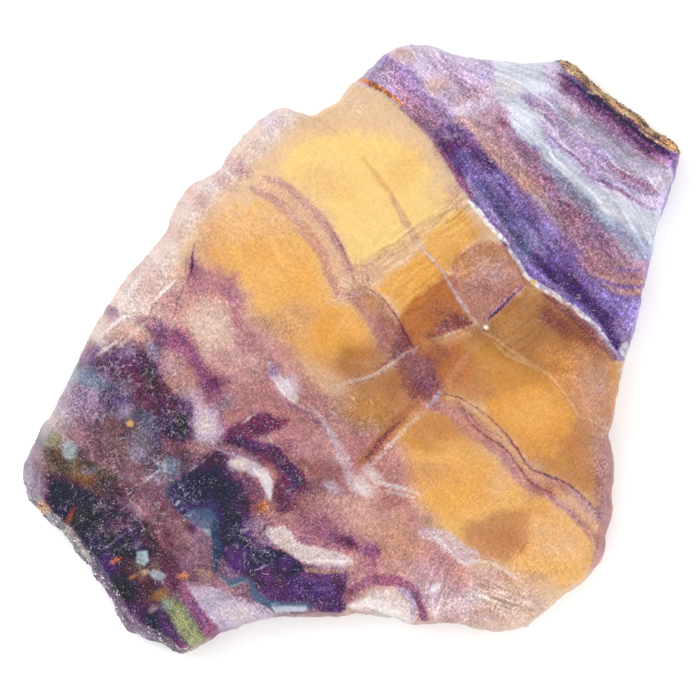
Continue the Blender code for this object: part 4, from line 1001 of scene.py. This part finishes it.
    p.hatch((214, -349), (58, 22), -20, 0.4, 0.5)
    p.hatch((124, -335), (47, 31), 70, 0.25, 0.5)
    p.band("milk", 0.6, [2.1, 4.2, 5.6, 2.8], 4.2, [(-112, -21), (-104, -37), (-93, -54), (-79, -68)])
    p.clouds(("wine", -193, -49, 14, 14, -20, 0.55), ("cream", -154, -160, 12, 7, 15, 0.5))
    p.patch("white", 0.6, 2, [(-139, -158), (-126, -162), (-112, -178), (-108, -190), (-114, -210),
        (-121, -196), (-129, -179)])
    p.clouds(("rust", -121, -221, 11, 10, 20, 0.5), ("wine", -107, -149, 28, 12, 30, 0.5))
    # a short violet line where the ridge ends
    p.band("violet", 0.5, [0.7, 1.4, 0.7], 1.4, [(374, 4), (382, -1), (387, -10)])
    # veils and pale blotches
    p.band("lilac", 0.6, [2.8, 6.9, 8.3, 4.2], 8.3, [(101, -254), (124, -260), (149, -279), (171, -287)])
    p.band("milk", 0.75, [0.7, 1.4, 1.8, 1.7, 1.7, 1, 1.2, 1.4, 0.7], 1.9, [(101, -262), (119, -262),
        (133, -275), (146, -289), (157, -297), (174, -294), (194, -297), (212, -307),
        (240, -324)], dashes=0.35)
    p.cloud("white", (118, -332), (11, 4), 40, 0.7)
    p.band("salmon", 0.5, [0.7, 2.1, 1.1], 2.2, [(154, -287), (187, -290), (212, -299)])
    p.band("shell", 0.8, [1.4, 1.9, 1.7, 0.8], 1.7, [(29, -185), (54, -190), (74, -194), (96, -203)])
    p.band("shell", 0.6, [0.8, 1.7, 1.1], 1.4, [(46, -196), (68, -201), (90, -207)])
    p.band("brick", 0.5, [1.4, 4.2, 2.8], 4.2, [(46, -207), (74, -215), (82, -235)])
    p.clouds(("milk", 15, -193, 15, 8, -20, 0.8), ("milk", 29, -174, 14, 7, -40, 0.7),
        ("lilac", -26, -194, 12, 7, -30, 0.7), ("lilac", -87, -49, 15, 14, -30, 0.6),
        ("milk", -90, -51, 10, 11, -40, 0.45), ("violet", -107, -29, 8, 11, -30, 0.55))
    p.band("white", 0.6, [0.6, 1.4, 1.4, 0.7, 0.6], 1.7, [(-110, -37), (-99, -54), (-87, -68), (-71, -78),
        (-54, -86)])
    p.band("dusk", 0.6, [0.8, 1.9, 1.4, 2.2, 0.8], 2.8, [(-96, -76), (-82, -79), (-68, -86), (-54, -99),
        (-40, -103)], dashes=0.3)
    p.band("lilac", 0.45, [0.8, 1.7, 2.8, 3.6, 4.2, 2.8], 5.6, [(-54, -82), (-40, -99), (-26, -118),
        (-14, -137), (-6, -157), (-1, -179)])
    p.band("shell", 0.7, [0.4, 1, 0.8, 1.1, 0.6], 1.2, [(-76, -67), (-57, -78), (-40, -96), (-28, -115),
        (-15, -135)], dashes=0.3)
    p.band("lavender", 0.35, [0.6, 1.1, 1.1, 0.8], 1.9, [(-46, -101), (-28, -124), (-15, -147), (-8, -174)])
    p.cloud("shell", (-15, -151), (11, 8), -20, 0.5)
    # broken dashes, streaks and cracks of the left side
    p.band("white", 0.7, [0.6, 1.4, 0.6], 1.1, [(-153, -104), (-142, -96), (-131, -86)])
    p.band("white", 0.65, [0.6, 1, 1, 0.6], 1, [(-240, -185), (-224, -171), (-207, -157),
        (-190, -144)], straight=True, dashes=0.6)
    p.band("white", 0.6, [0.6, 1.4, 1], 1.2, [(-293, -187), (-279, -178), (-267, -167)], dashes=0.5)
    p.band("mist", 0.7, [0.7, 1.2, 0.7], 1.2, [(-279, -149), (-271, -156), (-265, -165)])
    p.band("white", 0.6, [0.4, 1, 0.6], 1, [(-140, -310), (-124, -303), (-110, -297)])
    p.band("smoke", 0.7, [0.6, 1.2, 0.6], 1.2, [(-346, -279), (-332, -269), (-318, -257)])
    p.band("smoke", 0.6, [0.6, 1.1, 0.7], 1.1, [(-324, -265), (-310, -254), (-290, -243)], dashes=0.5)
    p.band("white", 0.75, [0.7, 1.9, 0.8], 1.7, [(-243, 96), (-257, 81), (-271, 67)])
    p.band("shell", 0.8, [0.7, 1.4, 0.8], 1.4, [(-324, 4), (-299, 24), (-276, 46)])
    p.band("white", 0.8, [0.8, 1.7, 1.1], 1.4, [(-343, 24), (-329, 36), (-312, 47)])
    p.band("white", 0.6, [0.7, 1.9, 0.7], 1.9, [(-354, -10), (-337, 4), (-321, 15)])
    p.band("white", 0.5, [0.7, 1.7, 0.7], 1.9, [(-312, 74), (-301, 90), (-285, 107)])
    p.band("gloam", 0.8, [0.4, 1.2, 1.9, 0.8], 1.2, [(-215, 151), (-219, 135), (-221, 115), (-228, 94)])
    p.band("ink", 0.75, [0.4, 1.1, 0.7, 1.1, 0.4], 1, [(-232, 90), (-236, 76), (-240, 68), (-243, 54),
        (-249, 40)], dashes=0.5)
    p.band("ink", 0.65, [0.4, 1, 0.4], 1, [(-268, 64), (-276, 54), (-280, 43)])
    p.band("ink", 0.5, [0.4, 1.2, 0.4], 1.4, [(-307, 46), (-290, 42), (-268, 43)], dashes=0.4)
    p.band("white", 0.7, [0.4, 1.1, 0.4], 1, [(-115, -121), (-112, -129), (-111, -137)])
    p.band("white", 0.6, [0.4, 1, 0.4], 1, [(-32, -82), (-24, -89), (-18, -93)])
    p.band("white", 0.6, [0.4, 1.1, 0.4], 1, [(-4, -65), (1, -69), (6, -75)])
    p.band("white", 0.6, [0.4, 1, 0.4], 1, [(25, -69), (28, -74), (29, -78)])
    p.band("white", 0.6, [0.4, 1, 0.4], 1, [(-62, -162), (-61, -168), (-62, -175)])
    p.cloud("white", (-240, -214), (5, 2), 50, 0.6, 0.5)
    p.band("lilac", 0.8, [0.7, 1.4, 1], 1.4, [(-210, -333), (-193, -335), (-179, -339)], dashes=0.3)
    # pale and rusty spots of the dark zone
    p.patch("mist", 0.7, 4, [(-401, -132), (-387, -129), (-380, -143), (-390, -154), (-400, -147)])
    p.patch("mist", 0.9, 2, [(-300, -282), (-283, -280), (-280, -293), (-287, -301),
        (-297, -296)], straight=True)
    p.cloud("sage", (-294, -293), (6, 6), 0, 0.6, 0.5)
    p.patch("mist", 0.75, 2, [(-279, -311), (-268, -308), (-257, -314), (-262, -322), (-275, -319)])
    p.clouds(("cream", -285, -310, 6, 4, 0, 0.6, 0.6), ("sage", -297, -271, 6, 6, 0, 0.5),
        ("rust", -326, -293, 8, 4, 20, 0.75, 0.7), ("rust", -301, -317, 6, 3, 20, 0.7, 0.7),
        ("rust", -233, -315, 8, 5, 10, 0.75, 0.7), ("sand", -204, -312, 12, 6, -20, 0.6),
        ("ochre", -265, -343, 12, 7, 30, 0.5), ("ochre", -290, -318, 8, 11, 0, 0.3),
        ("honey", -307, -103, 5, 4, 0, 0.95, 0.4), ("russet", -389, -232, 4, 11, -20, 0.7))
    # moss streak and purple line at the bottom tip
    p.patch("fern", 0.8, 6, [(-265, -346), (-243, -349), (-224, -371), (-204, -399), (-201, -410),
        (-221, -415), (-240, -396), (-254, -371)])
    p.clouds(("sage", -257, -357, 10, 7, 40, 0.7), ("cream", -276, -362, 8, 4, 30, 0.5))
    p.patch("gloam", 0.8, 6, [(-265, -365), (-254, -374), (-240, -396), (-226, -418), (-243, -418),
        (-265, -396)])
    p.patch("lilac", 0.95, 7, [(-229, -326), (-204, -335), (-174, -340), (-149, -349), (-124, -360),
        (-99, -371), (-140, -385), (-179, -393), (-199, -379), (-215, -351)])
    p.clouds(("smoke", -193, -351, 17, 11, 20, 0.6), ("shell", -154, -365, 22, 10, 0, 0.6))
    p.band("plum", 0.95, [2.1, 4.2, 5.6, 6.9, 6.9], 4.2, [(-235, -326), (-226, -346), (-215, -362),
        (-203, -379), (-190, -396)])
    p.band("violet", 0.6, [0.8, 2.8, 2.8, 1.4], 2.8, [(-224, -349), (-212, -365), (-201, -382)])
    # crust of the lower left rim
    p.clouds(("smoke", -446, -174, 17, 31, 10, 0.9), ("clay", -440, -168, 12, 25, 10, 0.35),
        ("lilac", -446, -179, 8, 19, 10, 0.4))
    p.band("sage", 0.9, [2.8, 6.9, 8.3, 8.3, 6.9], 4.9, [(-435, -207), (-410, -249), (-379, -287),
        (-357, -312), (-343, -329)])
    p.band("smoke", 0.7, [1.4, 4.2, 5.6, 5.6, 4.2], 4.2, [(-426, -235), (-410, -257), (-387, -282),
        (-365, -310)])
    p.band("bark", 0.5, [0.7, 2.1, 2.8, 1.4], 2.2, [(-415, -237), (-390, -265), (-371, -293),
        (-354, -310)], dashes=0.3)
    p.band("cream", 0.5, [0.7, 2.1, 2.8, 1.4], 2.8, [(-404, -237), (-385, -260), (-371, -282),
        (-360, -299)])
    p.band("bark", 0.4, [0.7, 1.4, 1.7, 0.8], 1.7, [(-421, -240), (-399, -265), (-376, -293)], dashes=0.5)
    p.band("violet", 0.7, [4.2, 6.9, 6.9, 4.2], 5.6, [(-357, -310), (-343, -332), (-321, -360),
        (-299, -385)])
    p.band("clay", 0.6, [4.2, 6.9, 8.3, 6.9, 6.9], 5.6, [(-354, -318), (-335, -349), (-310, -379),
        (-279, -401), (-235, -421)])
    p.band("gloam", 0.55, [4.2, 8.3, 9.7, 8.3, 6.9], 5.6, [(-360, -301), (-337, -340), (-315, -371),
        (-285, -396), (-240, -418)])
    p.band("smoke", 0.6, [0.7, 2.1, 2.8, 2.1], 2.8, [(-351, -326), (-332, -357), (-307, -387),
        (-271, -407)], dashes=0.4)
    p.band("white", 0.6, [0.4, 1.1, 1.1, 0.7], 1.2, [(-340, -326), (-324, -351), (-307, -374),
        (-285, -393)], dashes=0.4)
    p.band("ink", 0.5, [0.6, 1.4, 1.4, 0.6], 1.4, [(-340, -329), (-324, -351), (-310, -371)], dashes=0.5)
    p.clouds(("orange", -428, -221, 8, 12, 35, 0.95, 0.5), ("dust", -307, -29, 47, 28, 0, 0.7),
        ("dust", -362, -71, 33, 33, 0, 0.8), ("dust", -243, -99, 31, 31, 0, 0.6),
        ("dust", -310, -140, 47, 42, 0, 0.55), ("dust", -265, -224, 56, 42, 0, 0.5),
        ("dust", -349, -251, 69, 50, 30, 0.4), ("dust", -279, 68, 56, 42, 0, 0.45),
        ("dust", -133, -272, 36, 31, 0, 0.5), ("dust", -71, -196, 36, 19, 0, 0.5),
        ("dust", 19, -99, 47, 31, 0, 0.5), ("dust", 179, -355, 83, 28, 5, 0.6),
        ("dust", 124, -286, 33, 28, 0, 0.35))


# put the stone together

studio = {
    "light": 1.5,       # how strongly the cloudy share sends the light back
    "through": 0.42,    # how much comes back through the clear share from the floor
    "between": 0.15,    # what the half clear parts gain on top
    "gloss": 0.034,     # what the polish adds to every colour
}
lean = (0.10, -0.07)    # how far the bands shift sideways for each mm of depth


# The base colour that looks like the shown one under the studio's light.
# The cloudy share of the stone sends the light straight back, and the clear share sends it through
# to the floor and back, which colours it twice.
def baseFor(shown, clearness):
    wanted = (np.clip(shown, 0, 255) / 255) ** 2.2 - studio["gloss"]
    once = studio["light"] * (1 - clearness) * (1 + studio["between"] * clearness)
    twice = studio["through"] * clearness
    base = (np.sqrt(once**2 + 4 * twice * np.maximum(wanted, 0)) - once) / (2 * twice + 1e-9)
    return np.clip(base, 0.004, 1.0)


def makeStone():
    bm = openRim()
    refineRim(bm)
    roughenRim(bm)
    fillFace(bm, upper=True)
    fillFace(bm, upper=False)
    for f in bm.faces:
        f.smooth = True
    mesh = bpy.data.meshes.new("bandedStone")
    bm.to_mesh(mesh)
    bm.free()
    print("stone", len(mesh.vertices), "points", len(mesh.polygons), "faces")
    return mesh


def paintStone(mesh):
    count = len(mesh.vertices)
    place = np.empty(count * 3)
    mesh.vertices.foreach_get("co", place)
    x, y, z = place.reshape(-1, 3).T
    depth = thickness - z
    x = x + lean[0] * depth
    y = y + lean[1] * depth
    painting = Painting(x, y)
    paintBands(painting)
    painting.stir()
    layers = painting.layers
    flatTop = z > thickness - 0.001
    pitted = smoothStep(-0.6, 0.8, painting.ragged)
    sunk = stone["groove"] * painting.pits + stone["pits"] * painting.dust * pitted
    place[2::3] -= sunk * flatTop
    mesh.vertices.foreach_set("co", place)
    flatBase = z < 0.001
    broken = 1.0 - (flatTop | flatBase)
    tone = np.ones((count, 4))
    tone[:, :3] = baseFor(layers[:, :3], layers[:, 3:4])
    mesh.attributes.new("tone", "FLOAT_COLOR", "POINT").data.foreach_set("color", tone.ravel())
    channels = {"clearness": layers[:, 3], "grain": layers[:, 4], "dust": painting.dust, "broken": broken}
    for name, value in channels.items():
        mesh.attributes.new(name, "FLOAT", "POINT").data.foreach_set("value", value)


polish = {
    "refraction": 1.434,    # of fluorite
    "shine": 0.2,           # specular level
    "sawn": 0.09,           # roughness of the two sawn faces
    "broken": 0.3,          # what the broken rim adds to it
    "bumpHeight": 0.06,     # mm
    "bumpSize": 0.6,        # mm
}

texture = {
    "fibres": 3.2,          # strength of the criss-cross fibres in the grainiest parts
    "fine": 2.0,            # of the fine grain
    "mottle": 0.6,          # of the soft mottle
    "scratches": 0.6,       # of the short pale scratches
    "specksAndGlints": 0.55,         # of the bright points, partly painted glints
    "powder": 0.14,         # of the pale dots all over the coarse parts
    "threads": 0.35,        # of the net of pale threads
    "fibreSize": 0.17,      # mm, like the sizes below
    "fineSize": 0.2,
    "mottleSize": 1.3,
    "scratchSize": 0.13,
    "powderSize": 0.18,
    "glintSpeckSize": 0.16,
}

tints = {
    "scratches": (0.66, 0.60, 0.70),
    "threads": (0.62, 0.53, 0.66),
    "powder": (0.66, 0.58, 0.72),
    # near white: the specks, partly painted glints
    "specksAndGlints": (0.86, 0.82, 0.88),
}


def makeMaterial():
    material = bpy.data.materials.new("bandedFluorite")
    material.use_nodes = True
    tree = material.node_tree
    shader = tree.nodes["Principled BSDF"]
    shader.inputs["IOR"].default_value = polish["refraction"]
    shader.inputs["Specular IOR Level"].default_value = polish["shine"]

    def link(value, socket):
        if isinstance(value, bpy.types.NodeSocket):
            tree.links.new(value, socket)
        else:
            socket.default_value = value

    def attribute(name):
        node = tree.nodes.new("ShaderNodeAttribute")
        node.attribute_name = name
        return node.outputs["Color" if name == "tone" else "Fac"]

    def maths(operation, *values):
        node = tree.nodes.new("ShaderNodeMath")
        node.operation = operation
        for socket, value in zip(node.inputs, values):
            link(value, socket)
        return node.outputs[0]

    # The place turned in the faces' plane and drawn out along that direction
    def drawnOut(vector, turn, stretch):
        turned = tree.nodes.new("ShaderNodeMapping")
        turned.vector_type = "TEXTURE"
        turned.inputs["Rotation"].default_value = (0, 0, math.radians(turn))
        turned.inputs["Scale"].default_value = (stretch, 1, 1)
        link(vector, turned.inputs["Vector"])
        return turned.outputs["Vector"]

    # Noise with bumps of this size in mm
    def bumps(size, turn=0.0, stretch=1.0, detail=2.0):
        vector = drawnOut(place, turn, stretch)
        cloudy = tree.nodes.new("ShaderNodeTexNoise")
        cloudy.inputs["Scale"].default_value = 1 / (size * mm)
        cloudy.inputs["Detail"].default_value = detail
        cloudy.inputs["Roughness"].default_value = 0.6
        link(vector, cloudy.inputs["Vector"])
        return cloudy.outputs["Fac"]

    # 0 under low, 1 over high
    def above(value, low, high):
        node = tree.nodes.new("ShaderNodeMapRange")
        node.interpolation_type = "SMOOTHSTEP"
        node.inputs["From Min"].default_value = low
        node.inputs["From Max"].default_value = high
        link(value, node.inputs["Value"])
        return node.outputs["Result"]

    def tinted(colour, tint, amount):
        node = tree.nodes.new("ShaderNodeMix")
        node.data_type = "RGBA"
        link(amount, node.inputs["Factor"])
        link(colour, node.inputs["A"])
        node.inputs["B"].default_value = (*tint, 1)
        return node.outputs["Result"]

    place = tree.nodes.new("ShaderNodeTexCoord").outputs["Object"]
    grain = attribute("grain")
    broken = attribute("broken")
    dust = attribute("dust")
    rough = maths("MULTIPLY_ADD", dust, 0.3, grain)   # how much texture this part of the stone shows

    # criss-cross fibres, fine grain and a soft mottle
    size = texture["fibreSize"]
    fibres = maths("ADD", bumps(size, 38, 3.6, 1.0), bumps(size, -52, 3.2, 1.0))
    fibres = maths("SUBTRACT", fibres, 1.0)
    fine = maths("SUBTRACT", bumps(texture["fineSize"], detail=0.0), 0.5)
    mottle = maths("SUBTRACT", bumps(texture["mottleSize"], detail=3.0), 0.5)
    swing = maths("MULTIPLY_ADD", fibres, texture["fibres"], maths("MULTIPLY", fine, texture["fine"]))
    swing = maths("MULTIPLY_ADD", mottle, texture["mottle"], swing)
    brightness = tree.nodes.new("ShaderNodeVectorMath")
    brightness.operation = "SCALE"
    link(attribute("tone"), brightness.inputs[0])
    swing = maths("MINIMUM", maths("MULTIPLY", swing, rough), 0.9)
    link(maths("EXPONENT", swing), brightness.inputs["Scale"])
    colour = brightness.outputs[0]

    # short pale scratches in four directions where the stone is dusty
    patchy = maths("MULTIPLY_ADD", dust, 0.10, maths("MULTIPLY", bumps(1.6, detail=3.0), 0.36))
    for turn, length in ((35, 12.0), (-50, 10.0), (80, 8.0), (-10, 9.0)):
        streak = bumps(texture["scratchSize"], turn, length, 0.0)
        scratch = above(maths("ADD", patchy, streak), 0.96, 1.08)
        colour = tinted(colour, tints["scratches"], maths("MULTIPLY", scratch, texture["scratches"]))

    # a broken net of pale threads in the dustiest parts
    bend = tree.nodes.new("ShaderNodeTexNoise")
    bend.inputs["Scale"].default_value = 1 / (1.1 * mm)
    link(place, bend.inputs["Vector"])
    bent = tree.nodes.new("ShaderNodeVectorMath")
    bent.operation = "MULTIPLY_ADD"
    link(bend.outputs["Color"], bent.inputs[0])
    bent.inputs[1].default_value = (0.5 * mm, 0.5 * mm, 0.5 * mm)
    link(place, bent.inputs[2])
    for size, turn, stretch, share in ((1.2, 55, 3.0, 0.55), (1.0, -35, 2.8, 0.57)):
        vector = drawnOut(bent.outputs[0], turn, stretch)
        cells = tree.nodes.new("ShaderNodeTexVoronoi")
        cells.feature = "DISTANCE_TO_EDGE"
        cells.inputs["Scale"].default_value = 1 / (size * mm)
        link(vector, cells.inputs["Vector"])
        thread = maths("SUBTRACT", 1.0, above(cells.outputs["Distance"], 0.015 / size, 0.055 / size))
        shown = above(maths("MULTIPLY_ADD", dust, 0.12, bumps(0.9)), share, share + 0.08)
        cover = maths("MULTIPLY", thread, shown)
        cover = maths("MULTIPLY", cover, maths("MULTIPLY", dust, texture["threads"]))
        colour = tinted(colour, tints["threads"], cover)

    # pale powder on the coarse parts
    powder = maths("ADD", bumps(texture["powderSize"], detail=0.0), maths("MULTIPLY", bumps(1.8), 0.5))
    powder = above(powder, 0.85, 0.95)
    cover = maths("MULTIPLY", maths("MULTIPLY", powder, above(rough, 0.2, 1.2)), texture["powder"])
    colour = tinted(colour, tints["powder"], cover)

    # small bright specks in swarms: partly the stone's own pale specks, partly painted glints of light on
    # the polish
    glintSwarm = maths("MULTIPLY_ADD", bumps(2.4), 0.3, maths("MULTIPLY", rough, 0.03))
    spots = above(maths("ADD", glintSwarm, bumps(texture["glintSpeckSize"], detail=0.0)), 0.93, 1.02)
    colour = tinted(colour, tints["specksAndGlints"], maths("MULTIPLY", spots, texture["specksAndGlints"]))
    link(colour, shader.inputs["Base Color"])

    link(attribute("clearness"), shader.inputs["Transmission Weight"])
    link(maths("MULTIPLY_ADD", broken, polish["broken"], polish["sawn"]), shader.inputs["Roughness"])

    bump = tree.nodes.new("ShaderNodeBump")
    bump.inputs["Distance"].default_value = polish["bumpHeight"] * mm
    link(maths("MULTIPLY_ADD", broken, 0.6, 0.05), bump.inputs["Strength"])
    link(bumps(polish["bumpSize"], detail=4.0), bump.inputs["Height"])
    link(bump.outputs["Normal"], shader.inputs["Normal"])
    return material


# Grains scattered over a part of the stone's skin

# size in mm, density per square mm, and the skin of the stone that carries them, near a line over it
grains = {
    "crust": {
        "size": 0.17,
        "density": 9.0,
        "seed": 4,
        "skin": {"reach": 1.3, "lowest": 0.3, "highest": 6.6,
                 "line": [(29.9, 40.4), (32.1, 38.5), (35.1, 36), (38.5, 33.7), (41.8, 31.2), (45.4, 28.6)]},
        "finish": {"name": "rustyCrust", "roughness": 0.65,
                   "shades": ((0.05, 0.04, 0.05), (0.46, 0.24, 0.10), (0.42, 0.38, 0.22))},
    },
    "druse": {
        "size": 0.16,
        "density": 4.0,
        "seed": 9,
        "skin": {"reach": 1.6, "lowest": 0.3, "highest": 6.35,
                 "line": [(-45, -19.9), (-43.5, -22.6), (-40.1, -25.7), (-36, -29.6), (-34.3, -33.7),
                          (-29.3, -38.2), (-23.7, -41.8)]},
        "finish": {"name": "paleDruse", "roughness": 0.4,
                   "shades": ((0.10, 0.08, 0.12), (0.34, 0.31, 0.38), (0.62, 0.58, 0.62))},
    },
}


# Set little lumps on every face, each with its own size, shape and turn
def makeScatter():
    tree = bpy.data.node_groups.new("scatterGrains", "GeometryNodeTree")
    face = tree.interface
    face.new_socket("Geometry", in_out="INPUT", socket_type="NodeSocketGeometry")
    face.new_socket("Grain Size", in_out="INPUT", socket_type="NodeSocketFloat")
    face.new_socket("Density", in_out="INPUT", socket_type="NodeSocketFloat")
    face.new_socket("Seed", in_out="INPUT", socket_type="NodeSocketInt")
    face.new_socket("Material", in_out="INPUT", socket_type="NodeSocketMaterial")
    face.new_socket("Geometry", in_out="OUTPUT", socket_type="NodeSocketGeometry")

    def add(kind, **settings):
        node = tree.nodes.new(kind)
        for key, value in settings.items():
            setattr(node, key, value)
        return node

    given = add("NodeGroupInput").outputs
    spread = add("GeometryNodeDistributePointsOnFaces")
    lump = add("GeometryNodeMeshIcoSphere")
    lump.inputs["Subdivisions"].default_value = 1
    shape = add("FunctionNodeRandomValue", data_type="FLOAT_VECTOR")
    shape.inputs[0].default_value = (0.4, 0.4, 0.4)
    shape.inputs[1].default_value = (1.5, 1.2, 0.9)
    turn = add("FunctionNodeRandomValue", data_type="FLOAT_VECTOR")
    turn.inputs[1].default_value = (math.pi, math.pi, math.tau)
    toSize = add("ShaderNodeVectorMath", operation="SCALE")
    place = add("GeometryNodeInstanceOnPoints")
    real = add("GeometryNodeRealizeInstances")
    paint = add("GeometryNodeSetMaterial")
    out = add("NodeGroupOutput")
    wires = [
        (given["Geometry"], spread.inputs["Mesh"]),
        (given["Density"], spread.inputs["Density"]),
        (given["Seed"], spread.inputs["Seed"]),
        (spread.outputs["Points"], place.inputs["Points"]),
        (lump.outputs["Mesh"], place.inputs["Instance"]),
        (shape.outputs[0], toSize.inputs[0]),
        (given["Grain Size"], toSize.inputs["Scale"]),
        (toSize.outputs[0], place.inputs["Scale"]),
        (turn.outputs[0], place.inputs["Rotation"]),
        (given["Seed"], shape.inputs["Seed"]),
        (given["Seed"], turn.inputs["Seed"]),
        (place.outputs[0], real.inputs[0]),
        (real.outputs[0], paint.inputs["Geometry"]),
        (given["Material"], paint.inputs["Material"]),
        (paint.outputs[0], out.inputs[0]),
    ]
    for start, end in wires:
        tree.links.new(start, end)
    return tree


# The faces of the stone near a line over it, between two heights, as a mesh of their own
def skinNear(mesh, line, reach, lowest, highest):
    bm = bmesh.new()
    bm.from_mesh(mesh)
    line = smoothCurve(line, False, 4)
    centres = np.array([f.calc_center_median() for f in bm.faces]) / mm
    heights = centres[:, 2]
    centres = centres[:, :2]
    away = np.full(len(centres), 1e9)
    for spot in line:
        away = np.minimum(away, np.hypot(*(centres - spot).T))
    bm.faces.ensure_lookup_table()
    far = [bm.faces[i] for i in np.flatnonzero((away > reach) | (heights < lowest) | (heights > highest))]
    bmesh.ops.delete(bm, geom=far, context="FACES")
    skin = bpy.data.meshes.new("skin")
    bm.to_mesh(skin)
    bm.free()
    return skin


def scatterGrains(name, mesh, tree, material):
    settings = grains[name]
    carrier = bpy.data.objects.new(name + "Grains", skinNear(mesh, **settings["skin"]))
    bpy.context.scene.collection.objects.link(carrier)
    scatter = carrier.modifiers.new("scatter", "NODES")
    scatter.node_group = tree
    values = {
        "Grain Size": settings["size"] * mm,
        "Density": settings["density"] / mm**2,
        "Seed": settings["seed"],
        "Material": material,
    }
    for socket in tree.interface.items_tree:
        if socket.name in values:
            scatter[socket.identifier] = values[socket.name]
    ready = carrier.evaluated_get(bpy.context.evaluated_depsgraph_get())
    result = bpy.data.meshes.new_from_object(ready)
    spots = np.empty(len(result.vertices) * 3)
    result.vertices.foreach_get("co", spots)
    spots[2::3] = np.clip(spots[2::3], 0, (thickness + settings["size"] / 2) * mm)
    result.vertices.foreach_set("co", spots)
    carrier.modifiers.remove(scatter)
    carrier.data = result
    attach(carrier, "root")
    print(name, "grains", len(result.polygons), "faces")


# Matt grains whose colour drifts between three shades
def makeGrainMaterial(name, roughness, shades):
    material = bpy.data.materials.new(name)
    material.use_nodes = True
    tree = material.node_tree
    shader = tree.nodes["Principled BSDF"]
    place = tree.nodes.new("ShaderNodeTexCoord").outputs["Object"]
    drift = tree.nodes.new("ShaderNodeTexNoise")
    drift.inputs["Scale"].default_value = 1 / (1.5 * mm)
    tree.links.new(place, drift.inputs["Vector"])
    ramp = tree.nodes.new("ShaderNodeValToRGB")
    ramp.color_ramp.elements.new(0.5)
    for element, position, shade in zip(ramp.color_ramp.elements, (0.42, 0.5, 0.6), shades):
        element.position = position
        element.color = (*shade, 1)
    tree.links.new(drift.outputs["Fac"], ramp.inputs["Fac"])
    tree.links.new(ramp.outputs["Color"], shader.inputs["Base Color"])
    matt = tree.nodes.new("ShaderNodeMapRange")
    matt.inputs["To Min"].default_value = roughness - 0.15
    matt.inputs["To Max"].default_value = roughness + 0.15
    tree.links.new(drift.outputs["Fac"], matt.inputs["Value"])
    tree.links.new(matt.outputs["Result"], shader.inputs["Roughness"])
    bump = tree.nodes.new("ShaderNodeBump")
    bump.inputs["Distance"].default_value = 0.04 * mm
    fine = tree.nodes.new("ShaderNodeTexNoise")
    fine.inputs["Scale"].default_value = 1 / (0.15 * mm)
    tree.links.new(place, fine.inputs["Vector"])
    tree.links.new(fine.outputs["Fac"], bump.inputs["Height"])
    tree.links.new(bump.outputs["Normal"], shader.inputs["Normal"])
    return material


mesh = makeStone()
paintStone(mesh)
mesh.transform(((mm, 0, 0, 0), (0, mm, 0, 0), (0, 0, mm, 0), (0, 0, 0, 1)))
stoneSlice = bpy.data.objects.new("bandedSlice", mesh)
bpy.context.scene.collection.objects.link(stoneSlice)
mesh.materials.append(makeMaterial())
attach(stoneSlice, "root")
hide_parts("fluorite_slice")
print("stone painted")

scatterTree = makeScatter()
for name in grains:
    scatterGrains(name, mesh, scatterTree, makeGrainMaterial(**grains[name]["finish"]))


# floor, light and camera

stage = {
    "floorSize": 6,           # m
    "floorDrop": 0.02,        # mm that the floor lies under the stone
    "floorShade": (0.9, 0.9, 0.9, 1),
    "softboxes": {"key": ((-0.45, 0.35, 0.55), 0.35, 2.6), "fill": ((0.5, -0.3, 0.4), 0.5, 0.9)},
    "surround": 1.25,         # strength of the white all round
    "lens": 180,
    "sensor": 36,
    "frameWidth": 97.2,       # mm that the picture's width shows at the upper face
    "offCentre": -0.139,      # mm that the camera stands left of and below the middle
}


def makeFloor():
    bpy.ops.mesh.primitive_plane_add(size=stage["floorSize"], location=(0, 0, -stage["floorDrop"] * mm))
    floor = bpy.context.object
    floor.name = "floor"
    paint = bpy.data.materials.new("paleFloor")
    paint.use_nodes = True
    shader = paint.node_tree.nodes["Principled BSDF"]
    shader.inputs["Base Color"].default_value = stage["floorShade"]
    shader.inputs["Roughness"].default_value = 0.9
    shader.inputs["Specular IOR Level"].default_value = 0.1
    floor.data.materials.append(paint)


def makeSoftbox(name, place, size, power):
    lamp = bpy.data.lights.new(name, "AREA")
    lamp.shape = "SQUARE"
    lamp.size = size
    lamp.energy = power
    box = bpy.data.objects.new(name, lamp)
    box.location = place
    box.rotation_euler = (-Vector(place)).to_track_quat("-Z", "Y").to_euler()
    bpy.context.scene.collection.objects.link(box)


makeFloor()
for name, (place, size, power) in stage["softboxes"].items():
    makeSoftbox(name + "Softbox", place, size, power)
scene = bpy.context.scene
world = bpy.data.worlds.new("studioWhite")
world.use_nodes = True
world.node_tree.nodes["Background"].inputs["Color"].default_value = (1, 1, 1, 1)
world.node_tree.nodes["Background"].inputs["Strength"].default_value = stage["surround"]
scene.world = world
scene.view_settings.view_transform = "Standard"

cameraData = bpy.data.cameras.new("camera")
cameraData.lens = stage["lens"]
cameraData.sensor_width = stage["sensor"]
height = thickness * mm + stage["frameWidth"] * mm * stage["lens"] / stage["sensor"]
offCentre = stage["offCentre"] * mm
camera = bpy.data.objects.new("camera", cameraData)
camera.location = (offCentre, offCentre, height)
scene.collection.objects.link(camera)
scene.camera = camera

bpy.context.view_layer.update()
print("stage set")
